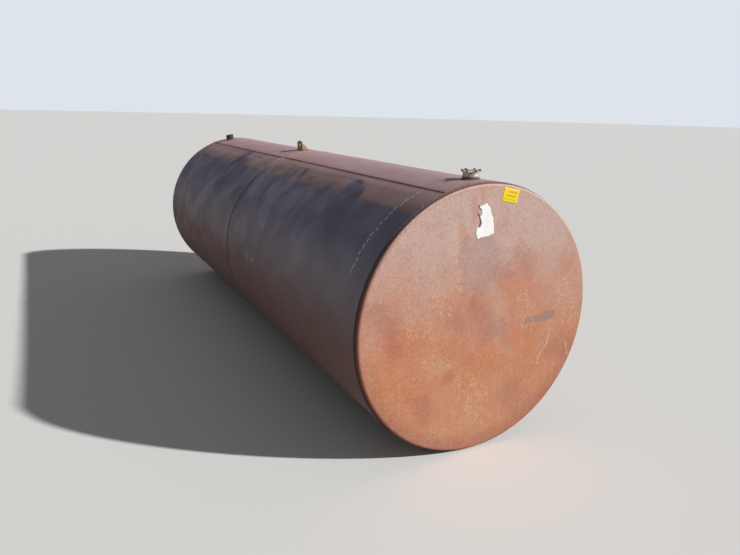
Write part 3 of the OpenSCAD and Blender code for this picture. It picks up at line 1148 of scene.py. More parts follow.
class BeadTree:
    """Grows a rippled weld bead and its spatter along a path."""

    def __init__(self) -> None:
        """Builds the tree once, for every weld."""
        t = Tree("weld_bead")
        pitch, half, crown = t.number("Pitch"), t.number("Half Width"), t.number("Crown")
        stray, near, far = t.number("Spatter Spacing"), t.number("Spatter From"), t.number("Spatter To")
        plate, seed = t.number("Plate", "Object"), t.number("Seed", "Int")
        finish = t.number("Finish", "Material")
        line = t.step("GeometryNodeMeshToCurve", t.entry.outputs["Geometry"], "Mesh").outputs["Curve"]
        beads = self.ripples(t, line, pitch, half, crown, seed)
        drops = self.spatter(t, line, stray, (near, far), plate, seed)
        both = t.node("GeometryNodeJoinGeometry")
        t.tree.links.new(beads, both.inputs[0])
        t.tree.links.new(drops, both.inputs[0])
        t.close(both.outputs[0], finish)
        self.tree = t.tree

    def stations(self, t: Tree, line: Socket, spacing: Wire) -> tuple[Socket, Socket, Wire]:
        """Spaces points along the path.

        Args:
            t: The tree under construction.
            line: The path.
            spacing: Distance between points.

        Returns:
            The points, their rotation and the direction across the path.
        """
        sampled = t.node("GeometryNodeResampleCurve", mode="LENGTH")
        t.feed(sampled.inputs["Curve"], line)
        t.feed(sampled.inputs["Length"], spacing)
        named = t.node("GeometryNodeInputNamedAttribute", data_type="FLOAT_VECTOR")
        named.inputs["Name"].default_value = "up"
        up = named.outputs["Attribute"]
        tangent = t.node("GeometryNodeInputTangent").outputs[0]
        lean = t.node("FunctionNodeAlignRotationToVector", axis="Z")
        t.feed(lean.inputs["Vector"], up)
        turn = t.node("FunctionNodeAlignRotationToVector", axis="X", pivot_axis="Z")
        t.feed(turn.inputs["Rotation"], lean.outputs[0])
        t.feed(turn.inputs["Vector"], tangent)
        return sampled.outputs["Curve"], turn.outputs[0], t.vector("CROSS_PRODUCT", up, tangent)

    def lay(self, t: Tree, points: Socket, rotation: Socket, grain: bpy.types.Node, size: Wire) -> Socket:
        """Sets smooth copies of a small mesh on points.

        Args:
            t: The tree under construction.
            points: Where the copies go.
            rotation: How each one is turned.
            grain: The node that makes the mesh.
            size: Scale of each one.

        Returns:
            The copies, as instances.
        """
        smooth = t.step("GeometryNodeSetShadeSmooth", grain.outputs["Mesh"]).outputs[0]
        inputs = {"Rotation": rotation, "Instance": smooth, "Scale": size}
        return t.step("GeometryNodeInstanceOnPoints", points, "Points", **inputs).outputs["Instances"]

    def ripples(self, t: Tree, line: Socket, pitch: Wire, half: Wire, crown: Wire, seed: Wire) -> Socket:
        """Lays overlapping ripples along the path.

        Args:
            t: The tree under construction.
            line: The path.
            pitch: Distance between ripples.
            half: Half the bead's width.
            crown: The bead's height.
            seed: Seed of the irregularity.

        Returns:
            The ripples, as instances.
        """
        points, rotation, across = self.stations(t, line, pitch)
        shift = t.vector("SCALE", across, scale=t.random(-0.16, 0.16, seed) * half)
        moved = t.step("GeometryNodeSetPosition", points, Offset=shift).outputs["Geometry"]
        coin = t.node("GeometryNodeMeshUVSphere")
        for name, value in (("Segments", 8), ("Rings", 5), ("Radius", 1.0)):
            coin.inputs[name].default_value = value
        size = t.vector("SCALE", t.join(pitch * 1.25, half, crown), scale=t.random(0.82, 1.14, seed + 7.0))
        return self.lay(t, moved, rotation, coin, size)

    def spatter(
        self, t: Tree, line: Socket, spacing: Wire, span: tuple[Wire, Wire], plate: Wire, seed: Wire,
    ) -> Socket:
        """Strews small drops beside the path, each one on the plate.

        Args:
            t: The tree under construction.
            line: The path.
            spacing: Mean distance between drops along the path.
            span: How far from the path the drops may lie, from one side to the other.
            plate: The plate that they stick to.
            seed: Seed of their places.

        Returns:
            The drops, as instances.
        """
        points, rotation, across = self.stations(t, line, spacing)
        shift = t.vector("SCALE", across, scale=t.random(*span, seed + 21.0))
        moved = t.step("GeometryNodeSetPosition", points, Offset=shift)
        surface = t.node("GeometryNodeObjectInfo", transform_space="ORIGINAL")
        t.feed(surface.inputs["Object"], plate)
        nearest = t.node("GeometryNodeProximity", target_element="FACES")
        t.feed(nearest.inputs[0], surface.outputs["Geometry"])
        here = nearest.outputs["Position"]
        landed = t.step("GeometryNodeSetPosition", moved.outputs["Geometry"], Position=here)
        height = t.split(t.node("GeometryNodeInputPosition").outputs[0])[2]
        low = t.math("LESS_THAN", height, BEAD_FLOOR)
        clear = t.step("GeometryNodeDeleteGeometry", landed.outputs["Geometry"], Selection=low)
        drop = t.node("GeometryNodeMeshIcoSphere")
        drop.inputs["Radius"].default_value, drop.inputs["Subdivisions"].default_value = 1.0, 1
        size = t.vector("SCALE", (1.0, 1.0, 0.6), scale=t.random(0.0006, 0.0019, seed + 35.0))
        return self.lay(t, clear.outputs["Geometry"], rotation, drop, size)


@dataclass
class Weld:
    """One weld bead: its path, ripples (pitch, half width and crown) and the reach of its spatter."""

    name: str
    path: BeadPath
    plate: Piece
    finish: Material
    ripple: tuple[float, float, float]
    span: Point
    seed: int
    spacing: float = 0.03

    def build(self, tree: BeadTree) -> None:
        """Grows the bead in place of its solid.

        Args:
            tree: The shared bead tree.
        """
        pitch, half_width, crown = self.ripple
        values = {
            "Pitch": pitch, "Half Width": half_width, "Crown": crown,
            "Spatter Spacing": self.spacing, "Spatter From": self.span[0], "Spatter To": self.span[1],
            "Plate": self.plate, "Seed": self.seed, "Finish": self.finish,
        }
        piece = grow(self.path.object(), tree.tree, self.name + "_bead", values)
        claim(piece, "weld_metal", self.name + "_weld")


@dataclass
class Kit:
    """The finishes of the steel parts and the tree of their beads."""

    plate: Material
    weld: Material
    girth: Material
    seam: Material
    steel: Material
    lug: Material
    cast: Material
    beads: BeadTree


def ring_path(x: float, radius: float, tilt: float = 0.0) -> BeadPath:
    """Makes the path of a weld that runs round the tank.

    Args:
        x: Station along the tank.
        radius: Distance from the tank's axis.
        tilt: Lean of the outward direction along the tank, in degrees.

    Returns:
        The path.
    """
    points, ups, steps = [], [], 360
    lean = math.radians(tilt)
    for i in range(steps):
        turn = 2.0 * math.pi * i / steps
        out = Vector((0.0, math.sin(turn), math.cos(turn)))
        point = Vector((x, 0.0, AXIS_Z)) + out * radius
        point.z = max(point.z, BEAD_FLOOR + 0.0002)
        points.append(point)
        ups.append(out * math.cos(lean) + Vector((math.sin(lean), 0.0, 0.0)))
    return BeadPath(points, ups, True)


# ---- Shell


@dataclass(frozen=True)
class Dent:
    """A dent whose valley may be a crease: middle, reach to the rear, front and round the tank, and depth."""

    x: float
    angle: float
    rear: float
    front: float
    half_arc: float
    depth: float
    slant: float = 0.0
    power: float = 2.0
    bend: float = 0.0

    def sink(self, x: np.ndarray, angle: np.ndarray) -> np.ndarray:
        """Gives how far the plate is pushed in.

        Args:
            x: Stations along the tank.
            angle: Angles from the top, in radians.

        Returns:
            The depth at each place.
        """
        arc = (angle - math.radians(self.angle)) * SHELL_R
        along = x - self.x - self.slant * arc - self.bend * arc * arc
        along = np.minimum(np.hypot(along, 0.004) / np.where(along > 0.0, self.front, self.rear), 30.0)
        return self.depth * np.exp(-(along ** self.power) - (arc / self.half_arc) ** 2)


@dataclass(frozen=True)
class Flat:
    """A long flat that ends in a crease: its ends, the crease's angle, half width and depth share."""

    rear: float
    front: float
    angle: float
    half: float
    share: float
    fade: float = 0.10

    def sink(self, x: np.ndarray, angle: np.ndarray) -> np.ndarray:
        """Gives how far the plate is pushed in.

        Args:
            x: Stations along the tank.
            angle: Angles from the top, in radians.

        Returns:
            The depth at each place.
        """
        half = math.radians(self.half)
        off = np.clip(angle - math.radians(self.angle + self.half), -half, half)
        chord = SHELL_R * (1.0 - math.cos(half) / np.cos(off))
        for gap in (x - self.rear, self.front - x):
            part = np.clip(gap / self.fade, 0.0, 1.0)
            chord = chord * part * part * (3.0 - 2.0 * part)
        return chord * self.share


@dataclass
class Plate:
    """The wavy, dented surface that both courses share."""

    seed: int = 11
    wave_count: int = 9
    wave_depth: float = 0.0011
    dents: tuple[Dent, ...] = (
        Dent(1.093, -34.0, 0.047, 0.120, 0.068, 0.0064, -0.39, 1.47, -0.12),
        Dent(1.147, -50.6, 0.191, 0.149, 0.194, 0.0181, -0.09, 1.85, -1.92),
        Dent(0.516, -33.8, 0.030, 0.055, 0.057, 0.0020, -0.60, 1.13, -0.05),
        Dent(0.361, -31.7, 0.050, 0.089, 0.038, 0.0038, -0.02, 1.04, -0.05),
        Dent(0.118, -34.5, 0.048, 0.069, 0.038, 0.0027, -0.63, 1.02, -0.05),
        Dent(-0.295, -32.6, 0.037, 0.046, 0.048, 0.0017, -0.68, 1.29, 0.03),
        Dent(-0.770, -39.7, 0.087, 0.539, 0.130, 0.0156, -0.05, 1.44, 0.41),
        Dent(-0.559, -64.1, 0.478, 0.155, 0.209, 0.0302, -0.05, 2.37, -1.61),
        Dent(-0.273, -53.5, 0.059, 0.349, 0.137, 0.0070, -0.25, 1.35, -0.18),
        Dent(-1.072, -47.6, 0.193, 0.407, 0.071, 0.0025, 0.11, 1.83, -0.00),
        Dent(-1.434, -46.9, 0.112, 0.123, 0.052, 0.0024, 0.02, 1.95, 0.04),
        Dent(0.793, -49.7, 0.117, 0.116, 0.126, 0.0036, -0.23, 1.74, 0.05),
        Dent(0.514, -52.0, 0.143, 0.188, 0.141, 0.0107, -0.39, 2.03, -0.24),
        Dent(1.324, -59.5, 0.139, 0.115, 0.105, 0.0013, 0.11, 1.93, -0.05),
        Dent(1.501, -47.1, 0.143, 0.133, 0.092, 0.0068, -0.03, 1.97, -0.00),
        Dent(0.733, -31.5, 0.077, 0.113, 0.039, 0.0027, -0.46, 1.30, -0.02),
        Dent(0.877, -32.1, 0.067, 0.062, 0.071, 0.0024, -0.44, 1.56, -0.02),
        Dent(-1.717, -32.8, 0.078, 0.087, 0.068, 0.0054, 0.22, 1.32, -0.09),
        Dent(1.249, -36.9, 0.057, 0.070, 0.070, 0.0033, -0.78, 1.57, -0.17),
        Dent(-0.951, -36.9, 0.080, 0.083, 0.080, 0.0022, 0.03, 1.75, 0.09),
    )
    flats: tuple[Flat, ...] = (
        Flat(0.00, 1.70, -35.3, 5.1, 0.80),
        Flat(-1.72, -0.80, -36.1, 7.4, 0.62),
    )
    waves: list[tuple[float, float, float, float]] = field(default_factory=list)

    def __post_init__(self) -> None:
        """Draws the long waves once, from the fixed seed."""
        dice = random.Random(self.seed)
        for _ in range(self.wave_count):
            along, around = dice.uniform(2.0, 9.0), float(dice.randint(3, 11))
            self.waves.append((along, around, dice.uniform(0, 6.28), dice.uniform(0.4, 1.0)))

    def sink(self, x: np.ndarray, angle: np.ndarray) -> np.ndarray:
        """Gives how far the plate lies inside the true cylinder.

        Args:
            x: Stations along the tank.
            angle: Angles from the top, in radians.

        Returns:
            The depth at each place, never negative.
        """
        total = np.zeros_like(x)
        for along, around, phase, share in self.waves:
            height = share * (1.0 + np.sin(along * x + around * angle + phase))
            total += height * self.wave_depth / self.wave_count * 2.2
        for form in (*self.dents, *self.flats):
            total += form.sink(x, angle)
        stiff = np.ones_like(x)
        for rim, reach in ((COURSE_END, 0.14), (-COURSE_END, 0.14), (GIRTH_X, 0.09)):
            stiff *= np.clip(np.abs(x - rim) / reach, 0.0, 1.0) ** 0.7
        lap = np.abs(angle - math.radians(-20.5)) * SHELL_R
        stiff *= np.clip(lap / 0.07, 0.0, 1.0) ** 0.6
        bottom = np.clip((math.radians(165) - np.abs(angle)) / math.radians(25), 0.0, 1.0)
        return total * stiff * bottom


@dataclass
class ShellCourse:
    """One rolled course of the shell with its long lap."""

    name: str
    node: str
    rear: float
    front: float
    lap_angle: float
    tucked: bool = False
    lap_rise: float = 0.072
    step: float = 0.011
    columns: int = 400
    gap: float = 0.0008
    tuck: float = 0.03
    crease: float = 28.0

    def build(self, plate: Plate, finish: Material) -> Piece:
        """Lofts the course from rings.

        Args:
            plate: The dented surface.
            finish: The plate's finish.

        Returns:
            The finished piece.
        """
        count = int(round((self.front - self.rear) / self.step))
        stations = [(x, 0.0, True) for x in np.linspace(self.front, self.rear, count)]
        if self.tucked:
            drop, tuck_x = PLATE + self.gap, GIRTH_X - self.tuck
            stations += [(GIRTH_X, drop, False), (tuck_x, drop, False)]
            stations += [(tuck_x, drop + PLATE, False), (GIRTH_X, drop + PLATE, False)]
        stations += [(self.rear, PLATE, False), (self.front, PLATE, False)]
        edge = math.radians(self.lap_angle)
        angle = edge + np.radians(np.arange(self.columns + 1) * 360.0 / self.columns)
        wrapped = (angle + math.pi) % (2.0 * math.pi) - math.pi
        rise_angle = self.lap_rise / SHELL_R
        beyond = angle - edge
        rise = PLATE * np.sin(np.clip(rise_angle - beyond, 0.0, None)) / math.sin(rise_angle)
        lap = np.where(beyond < rise_angle, rise, 0.0)
        rows = []
        for x, drop, outer in stations:
            radius = np.full_like(angle, SHELL_R - drop)
            if outer:
                xs = np.full_like(angle, x)
                uneven = 0.26 + 0.10 * math.sin(17.0 * x + 0.6)
                uneven = uneven + 0.08 * math.sin(41.0 * x + 2.0) + 0.05 * math.sin(93.0 * x)
                radius = radius - plate.sink(xs, wrapped) + lap * uneven
            z = np.maximum(AXIS_Z + radius * np.cos(angle), 0.0 if outer else 0.0045)
            rows.append(np.stack([np.full_like(angle, x), radius * np.sin(angle), z], axis=1))
        verts = np.concatenate(rows)
        faces = loft_faces(len(rows), self.columns + 1, True, True)
        piece = new_piece(self.name, verts, faces, finish, self.crease)
        face_out(piece)
        piece.data.set_sharp_from_angle(angle=math.radians(self.crease))
        return claim(piece, "shell_plate", self.node)


@dataclass
class Shell:
    """Both courses and the welds that join them."""

    front_lap: float = -20.2
    rear_lap: float = -20.8
    lap_inset: float = 0.003

    def lap_path(self, rear: float, front: float, angle: float) -> BeadPath:
        """Makes the path of the fillet under a lap's edge.

        Args:
            rear: Rear end of the lap.
            front: Front end of the lap.
            angle: Angle of the lap's edge.

        Returns:
            The path.
        """
        points, ups = [], []
        for x in np.linspace(rear + 0.004, front - 0.004, 160):
            foot = on_shell(float(x), angle - 0.13, 0.0012)
            out = on_shell(0.0, angle - 48.0) - on_shell(0.0, angle - 48.0, -0.1)
            points.append(foot)
            ups.append(out.normalized())
        return BeadPath(points, ups, False)

    def build(self, kit: Kit) -> tuple[Piece, Piece]:
        """Builds the courses and their welds.

        Args:
            kit: The shared finishes and bead tree.

        Returns:
            The front and the rear course.
        """
        surface = Plate()
        joggle_end = GIRTH_X + JOGGLE
        front = ShellCourse(
            "front_course_plate", "front_course", joggle_end, COURSE_END, self.front_lap, tucked=True,
        )
        rear = ShellCourse("rear_course_plate", "rear_course", -COURSE_END, GIRTH_X, self.rear_lap)
        front, rear = front.build(surface, kit.plate), rear.build(surface, kit.plate)
        girth = ring_path(GIRTH_X + JOGGLE / 2, SHELL_R - 0.0008)
        ripple = (0.0065, 0.0080, 0.0019)
        Weld("girth", girth, front, kit.girth, ripple, (0.008, 0.045), 5, 0.02).build(kit.beads)
        laps = (
            ("front_seam", joggle_end + self.lap_inset, COURSE_END, self.front_lap, front, 9),
            ("rear_seam", -COURSE_END, GIRTH_X - self.lap_inset, self.rear_lap, rear, 13),
        )
        for name, start, end, angle, course, seed in laps:
            path = self.lap_path(start, end, angle)
            Weld(name, path, course, kit.seam, (0.0075, 0.0019, 0.0011), (-0.03, 0.03), seed).build(kit.beads)
        return front, rear


# ---- Heads


class HeadTree:
    """Grows a flat flanged head from a plain grid: disc, turned corner and flange."""

    def __init__(self) -> None:
        """Builds the tree once, for both heads."""
        t = Tree("flanged_head")
        radius, corner, flange = map(t.number, ("Outer Radius", "Corner Radius", "Flange Length"))
        face, way, height = t.number("Face Station"), t.number("Facing"), t.number("Axis Height")
        dish, ripple = t.number("Dish"), t.number("Ripple")
        finish = t.number("Finish", "Material")
        here = t.split(t.node("GeometryNodeInputPosition").outputs[0])
        flat = radius - corner
        bend = corner * (math.pi / 2)
        total = flat + bend + flange
        run = (here[0] + 0.5) * total
        turn = (here[1] + 0.5) * (2.0 * math.pi)
        past = t.most(run - flat, 0.0)
        curl = t.least(past / corner, math.pi / 2)
        out = t.least(run, flat) + corner * t.math("SINE", curl)
        back = corner * (1.0 - t.math("COSINE", curl))
        back = back + t.most(past - bend, 0.0)
        share = t.least(run, flat) / flat
        hollow = dish * (1.0 - share ** 4.0)
        y = out * t.math("SINE", turn)
        z = out * t.math("COSINE", turn)
        wobble = t.node("ShaderNodeTexNoise")
        t.feed(wobble.inputs["Vector"], t.join(y, z, way))
        wobble.inputs["Scale"].default_value, wobble.inputs["Detail"].default_value = 5.5, 1.0
        uneven = wobble.outputs[0] * ripple * (1.0 - share ** 6.0)
        inward = back + hollow + uneven
        x = face - way * inward
        place = t.join(x, y, z + height)
        moved = t.step("GeometryNodeSetPosition", t.entry.outputs["Geometry"], Position=place)
        sealed = t.step("GeometryNodeMergeByDistance", moved.outputs["Geometry"], Distance=0.00005)
        smooth = t.step("GeometryNodeSetShadeSmooth", sealed.outputs["Geometry"])
        t.close(smooth.outputs[0], finish)
        self.tree = t.tree


@dataclass
class FlangedHead:
    """One flat head."""

    side: Side
    node: str
    rings: int = 112
    columns: int = 288
    dish: float = 0.0011
    ripple: float = 0.0016
    inset: float = 0.0006

    def build(self, tree: HeadTree, finish: Material) -> Piece:
        """Grows the head and gives it its thickness.

        Args:
            tree: The shared head tree.
            finish: The head's finish.

        Returns:
            The finished piece.
        """
        facing = float(self.side.value)
        us = np.linspace(-0.5, 0.5, self.rings)
        vs = np.linspace(-0.5, 0.5, self.columns + 1)
        grid = np.array([(u, v, 0.0) for u in us for v in vs])
        sheet = new_piece("head_grid", grid, loft_faces(self.rings, self.columns + 1, False, False), finish)
        values = {
            "Outer Radius": HEAD_R, "Corner Radius": KNUCKLE, "Flange Length": FLANGE,
            "Face Station": facing * (HALF_LENGTH - self.inset), "Facing": facing, "Axis Height": AXIS_Z,
            "Dish": self.dish, "Ripple": self.ripple, "Finish": finish,
        }
        piece = grow(sheet, tree.tree, self.node + "_plate", values)
        made = bmesh.new()
        made.from_mesh(piece.data)
        bmesh.ops.recalc_face_normals(made, faces=made.faces)
        middle = Vector((facing * HALF_LENGTH, 0.1, AXIS_Z))
        probe = min(made.faces, key=lambda f: (f.calc_center_median() - middle).length)
        if probe.normal.x * facing < 0:
            bmesh.ops.reverse_faces(made, faces=made.faces)
        made.to_mesh(piece.data)
        made.free()
        wall = piece.modifiers.new("wall", "SOLIDIFY")
        wall.thickness, wall.offset = PLATE, -1.0
        return claim(piece, "head_plate", self.node)


# ---- Fittings


@dataclass
class FillFitting:
    """Capped fill fitting near the front head."""

    x: float = 1.699
    angle: float = -1.0
    socket_r: float = 0.0365
    socket_h: float = 0.008
    collar_r: float = 0.037
    collar_h: float = 0.006
    cap_r: float = 0.036
    cap_h: float = 0.021
    lug_count: int = 6
    lug_h: float = 0.007
    lug_w: float = 0.010
    lug_reach: float = 0.007

    def lug_tree(self) -> bpy.types.NodeTree:
        """Makes the tree that sets copies of one lug round the cap.

        Returns:
            The tree.
        """
        t = Tree("cap_lugs")
        count = t.number("Count", "Int")
        finish = t.number("Finish", "Material")
        circle = t.node("GeometryNodeMeshCircle")
        t.feed(circle.inputs["Vertices"], count)
        circle.inputs["Radius"].default_value = 0.001
        here = t.node("GeometryNodeInputPosition").outputs[0]
        aim = t.node("FunctionNodeAlignRotationToVector", axis="X", pivot_axis="Z")
        t.feed(aim.inputs["Vector"], here)
        inputs = {"Rotation": aim.outputs[0], "Instance": t.entry.outputs["Geometry"]}
        laid = t.step("GeometryNodeInstanceOnPoints", circle.outputs["Mesh"], "Points", **inputs)
        t.close(laid.outputs["Instances"], finish)
        return t.tree

    def lug_block(self, finish: Material) -> Piece:
        """Models one spanner lug, rounded and leaning outwards.

        Args:
            finish: The casting's finish.

        Returns:
            The lug, standing on the X axis.
        """
        root, tip = self.cap_r - 0.012, self.cap_r + self.lug_reach - 0.0005
        foot, top = self.cap_h - 0.007, self.cap_h + self.lug_h
        half = self.lug_w / 2
        outline = [
            (root, foot + 0.002), (self.cap_r - 0.001, foot), (tip - 0.003, foot + 0.003), (tip, top - 0.004),
            (tip - 0.002, top), (self.cap_r - 0.003, top - 0.001), (root + 0.002, self.cap_h + 0.001),
        ]
        made = bmesh.new()
        sides = []
        for y in (-half, half):
            sides.append([made.verts.new((x, y * (0.82 if x > self.cap_r else 1.0), z)) for x, z in outline])
        made.faces.new(sides[0])
        made.faces.new(list(reversed(sides[1])))
        for i in range(len(outline)):
            j = (i + 1) % len(outline)
            made.faces.new((sides[0][i], sides[1][i], sides[1][j], sides[0][j]))
        bmesh.ops.recalc_face_normals(made, faces=made.faces)
        bmesh.ops.bevel(made, geom=made.edges[:], offset=0.0011, segments=2, affect="EDGES", profile=0.6)
        mesh = bpy.data.meshes.new("cap_lug")
        made.to_mesh(mesh)
        made.free()
        finish_mesh(mesh, finish)
        return link("cap_lug", mesh)

    def build(self, kit: Kit, plate: Piece) -> None:
        """Builds the socket, its weld, the adapter and the cap.

        Args:
            kit: The shared finishes and bead tree.
            plate: The course that the fitting stands on.
        """
        place = seat(self.x, self.angle)
        r, h = self.socket_r, self.socket_h
        ring = [
            (0.0285, -0.012), (r, -0.012), (r, h - 0.002), (r - 0.0006, h - 0.0008), (r - 0.002, h),
            (0.0305, h), (0.0285, h - 0.002),
        ]
        claim(turned_piece("fill_socket_body", ring, place, kit.steel), "socket_steel", "fill_socket")
        c, top = self.collar_r, h + self.collar_h
        neck, spigot, bore = 0.0297, 0.0282, 0.0232
        rim = top + self.cap_h - 0.010
        body = [
            (bore, 0.001), (spigot, 0.001), (spigot, h), (c - 0.0012, h + 0.0002), (c, h + 0.0014),
            (c, top - 0.0018), (c - 0.0008, top - 0.0006), (c - 0.002, top), (neck, top), (neck, rim),
            (bore, rim),
        ]
        claim(turned_piece("fill_adapter_body", body, place, kit.cast), "cap_casting", "fill_adapter")
        claim(self.cap(place, top, kit.cast), "cap_casting", "fill_cap")
        path = socket_path(place, r + 0.0022, 0.0014)
        ripple = (0.0058, 0.0042, 0.0030)
        Weld("fill_socket", path, plate, kit.weld, ripple, (-0.02, 0.0), 17).build(kit.beads)

    def cap(self, place: Matrix, foot: float, cast: Material) -> Piece:
        """Models the cap and grows its lugs.

        Args:
            place: The fitting's frame.
            foot: Height of the cap's skirt over the shell.
            cast: The casting's finish.

        Returns:
            The cap with its lugs.
        """
        r, h = self.cap_r, self.cap_h
        profile = [
            (0.0, h + 0.0030), (0.0120, h + 0.0029), (0.0148, h + 0.0021), (0.0170, h + 0.0004), (0.0195, h),
            (r - 0.006, h - 0.0003), (r - 0.0024, h - 0.0010),
            (r - 0.0006, h - 0.0027), (r, h - 0.0046), (r - 0.0009, h - 0.0058), (r - 0.0009, 0.0040),
            (r, 0.0030), (r, 0.0010), (r - 0.0008, 0.0), (0.0303, 0.0), (0.0303, h - 0.007), (0.0, h - 0.007),
        ]
        shift = place @ Matrix.Translation((0.0, 0.0, foot))
        body = turned_piece("fill_cap_body", profile, shift, cast, 84, 40.0)
        values = {"Count": self.lug_count, "Finish": cast}
        lugs = grow(self.lug_block(cast), self.lug_tree(), "fill_cap_lugs", values)
        lugs.data.transform(shift)
        made = bmesh.new()
        made.from_mesh(body.data)
        made.from_mesh(lugs.data)
        made.to_mesh(body.data)
        made.free()
        bpy.data.objects.remove(lugs, do_unlink=True)
        return body


def shell_drop(across: float) -> float:
    """Gives how far the shell falls away at a distance from a fitting's axis."""
    return SHELL_R - math.sqrt(SHELL_R ** 2 - across ** 2)


def socket_path(place: Matrix, reach: float, lift: float) -> BeadPath:
    """Makes the path of the fillet round a socket, following the shell's curve.

    Args:
        place: The socket's frame.
        reach: Radius of the path.
        lift: Height of the path over the shell.

    Returns:
        The path.
    """
    points, ups, steps = [], [], 72
    for i in range(steps):
        turn = 2.0 * math.pi * i / steps
        out = Vector((math.cos(turn), math.sin(turn), 0.0))
        points.append(place @ (out * reach + Vector((0.0, 0.0, lift - shell_drop(out.y * reach)))))
        ups.append((place.to_3x3() @ (out + Vector((0.0, 0.0, 1.0)))).normalized())
    return BeadPath(points, ups, True)


@dataclass
class RearSocket:
    """Plugged pipe socket near the rear head."""

    x: float = -1.679
    angle: float = -10.0
    outer: float = 0.031
    bore: float = 0.0222
    height: float = 0.040

    def build(self, kit: Kit, plate: Piece) -> None:
        """Builds the socket and its weld.

        Args:
            kit: The shared finishes and bead tree.
            plate: The course that the socket stands on.
        """
        place = seat(self.x, self.angle)
        r, h, b = self.outer, self.height, self.bore
        ring = [
            (b, -0.012), (r, -0.012), (r, h - 0.002), (r - 0.0006, h - 0.0007), (r - 0.002, h),
            (b + 0.002, h), (b, h - 0.002),
        ]
        claim(turned_piece("rear_socket_body", ring, place, kit.steel), "socket_steel", "rear_socket")
        path = socket_path(place, r + 0.0022, 0.0018)
        ripple = (0.0058, 0.0044, 0.0036)
        Weld("rear_socket", path, plate, kit.weld, ripple, (-0.02, 0.0), 23).build(kit.beads)


@dataclass
class LiftingLug:
    """Round-topped lug plate with a gusset, behind the girth joint."""

    x: float = -0.171
    angle: float = -4.0
    length: float = 0.090
    height: float = 0.060
    thick: float = 0.008
    eye_r: float = 0.011
    eye_h: float = 0.036
    gusset_thick: float = 0.008
    gusset_reach: float = 0.036
    sink: float = 0.003

    def outline(self) -> list[Point]:
        """Lists the plate's outline, foot first.

        Returns:
            Corners and arc points in the plate's own plane.
        """
        half, corner = self.length / 2, self.height / 2
        points = [(-half, -self.sink), (half, -self.sink)]
        for centre, start in ((half - corner, 0.0), (-half + corner, 90.0)):
            for i in range(11):
                turn = math.radians(start + 9.0 * i)
                lift = self.height - corner + corner * math.sin(turn)
                points.append((centre + corner * math.cos(turn), lift))
        return points

    def slab(
        self, name: str, loops: Sequence[Sequence[Point]], thick: float, place: Matrix, finish: Material,
    ) -> Piece:
        """Cuts a plate with rounded edges from its outline and holes.

        Args:
            name: The piece's name.
            loops: The outline, then any holes.
            thick: The plate's thickness.
            place: Frame of the plate's plane.
            finish: Its finish.

        Returns:
            The plate as a plain mesh.
        """
        edge = 0.0009
        curve = bpy.data.curves.new(name, "CURVE")
        curve.dimensions, curve.fill_mode = "2D", "BOTH"
        curve.extrude, curve.offset = thick / 2 - edge, -edge
        curve.bevel_depth, curve.bevel_resolution = edge, 2
        for loop in loops:
            spline = curve.splines.new("POLY")
            spline.points.add(len(loop) - 1)
            for point, (u, v) in zip(spline.points, loop):
                point.co = (u, v, 0.0, 1.0)
            spline.use_cyclic_u = True
        drawn = link(name, curve)
        bpy.context.view_layer.update()
        mesh = bpy.data.meshes.new_from_object(drawn.evaluated_get(bpy.context.evaluated_depsgraph_get()))
        bpy.data.objects.remove(drawn, do_unlink=True)
        mesh.transform(place)
        finish_mesh(mesh, finish)
        piece = link(name, mesh)
        face_out(piece)
        mesh.set_sharp_from_angle(angle=math.radians(30))
        return piece

    def build(self, kit: Kit, plate: Piece) -> None:
        """Builds the plate, the gusset and their welds.

        Args:
            kit: The shared finishes and bead tree.
            plate: The course that the lug stands on.
        """
        place = seat(self.x, self.angle)
        stand = Matrix.Rotation(math.radians(90), 4, "X")
        turns = [math.radians(a) for a in range(0, 360, 12)]
        eye = [(self.eye_r * math.cos(a), self.eye_h + self.eye_r * math.sin(a)) for a in turns]
        cut = self.slab("lug_plate_body", (self.outline(), eye), self.thick, place @ stand, kit.lug)
        claim(cut, "lug_steel", "lug_plate")
        start = self.thick / 2
        tip, top = start + self.gusset_reach, self.height - 0.020
        wedge = [
            (start, -self.sink), (tip, -self.sink - 0.001), (tip, 0.004), (start + 0.006, top), (start, top),
        ]
        half = self.length / 2
        shift = Matrix.Translation((half - self.gusset_thick / 2, 0.0, 0.0))
        across = place @ shift @ Matrix.Rotation(math.radians(90), 4, "Z") @ stand
        cut = self.slab("lug_gusset_body", (wedge,), self.gusset_thick, across, kit.lug)
        claim(cut, "lug_steel", "lug_gusset")
        low, high = -start - 0.001, start + 0.001
        corners = (-half, low), (half, low), (half, high), (-half, high)
        foot = self.foot_path(place, [Vector((u, v, 0.0)) for u, v in corners])
        row = self.foot_path(place, [Vector((half + 0.001, v, 0.0)) for v in (start, tip)], False)
        Weld("lug_plate", foot, plate, kit.weld, (0.0055, 0.0040, 0.0034), (-0.02, 0.0), 27).build(kit.beads)
        Weld("lug_gusset", row, plate, kit.weld, (0.0055, 0.0036, 0.0030), (0.0, 0.012), 31).build(kit.beads)

    def foot_path(self, place: Matrix, corners: Sequence[Vector], closed: bool = True) -> BeadPath:
        """Makes the path of a fillet along the lug's foot.

        Args:
            place: The lug's frame.
            corners: Corners of the path in that frame.
            closed: Whether the path is a loop.

        Returns:
            The path, laid on the shell.
        """
        points, ups = [], []
        middle = sum(corners, Vector()) / len(corners)
        pairs = list(zip(corners, list(corners[1:]) + [corners[0]]))
        for first, second in pairs if closed else pairs[:-1]:
            for i in range(8):
                here = first.lerp(second, i / 8)
                points.append(place @ (here + Vector((0.0, 0.0, 0.0012 - shell_drop(here.y)))))
                away = Vector((0.0, here.y - middle.y, 0.0) if closed else (1.0, 0.0, 0.0)).normalized()
                ups.append((place.to_3x3() @ (away + Vector((0.0, 0.0, 1.0)))).normalized())
        return BeadPath(points, ups, closed)


# ---- Labels


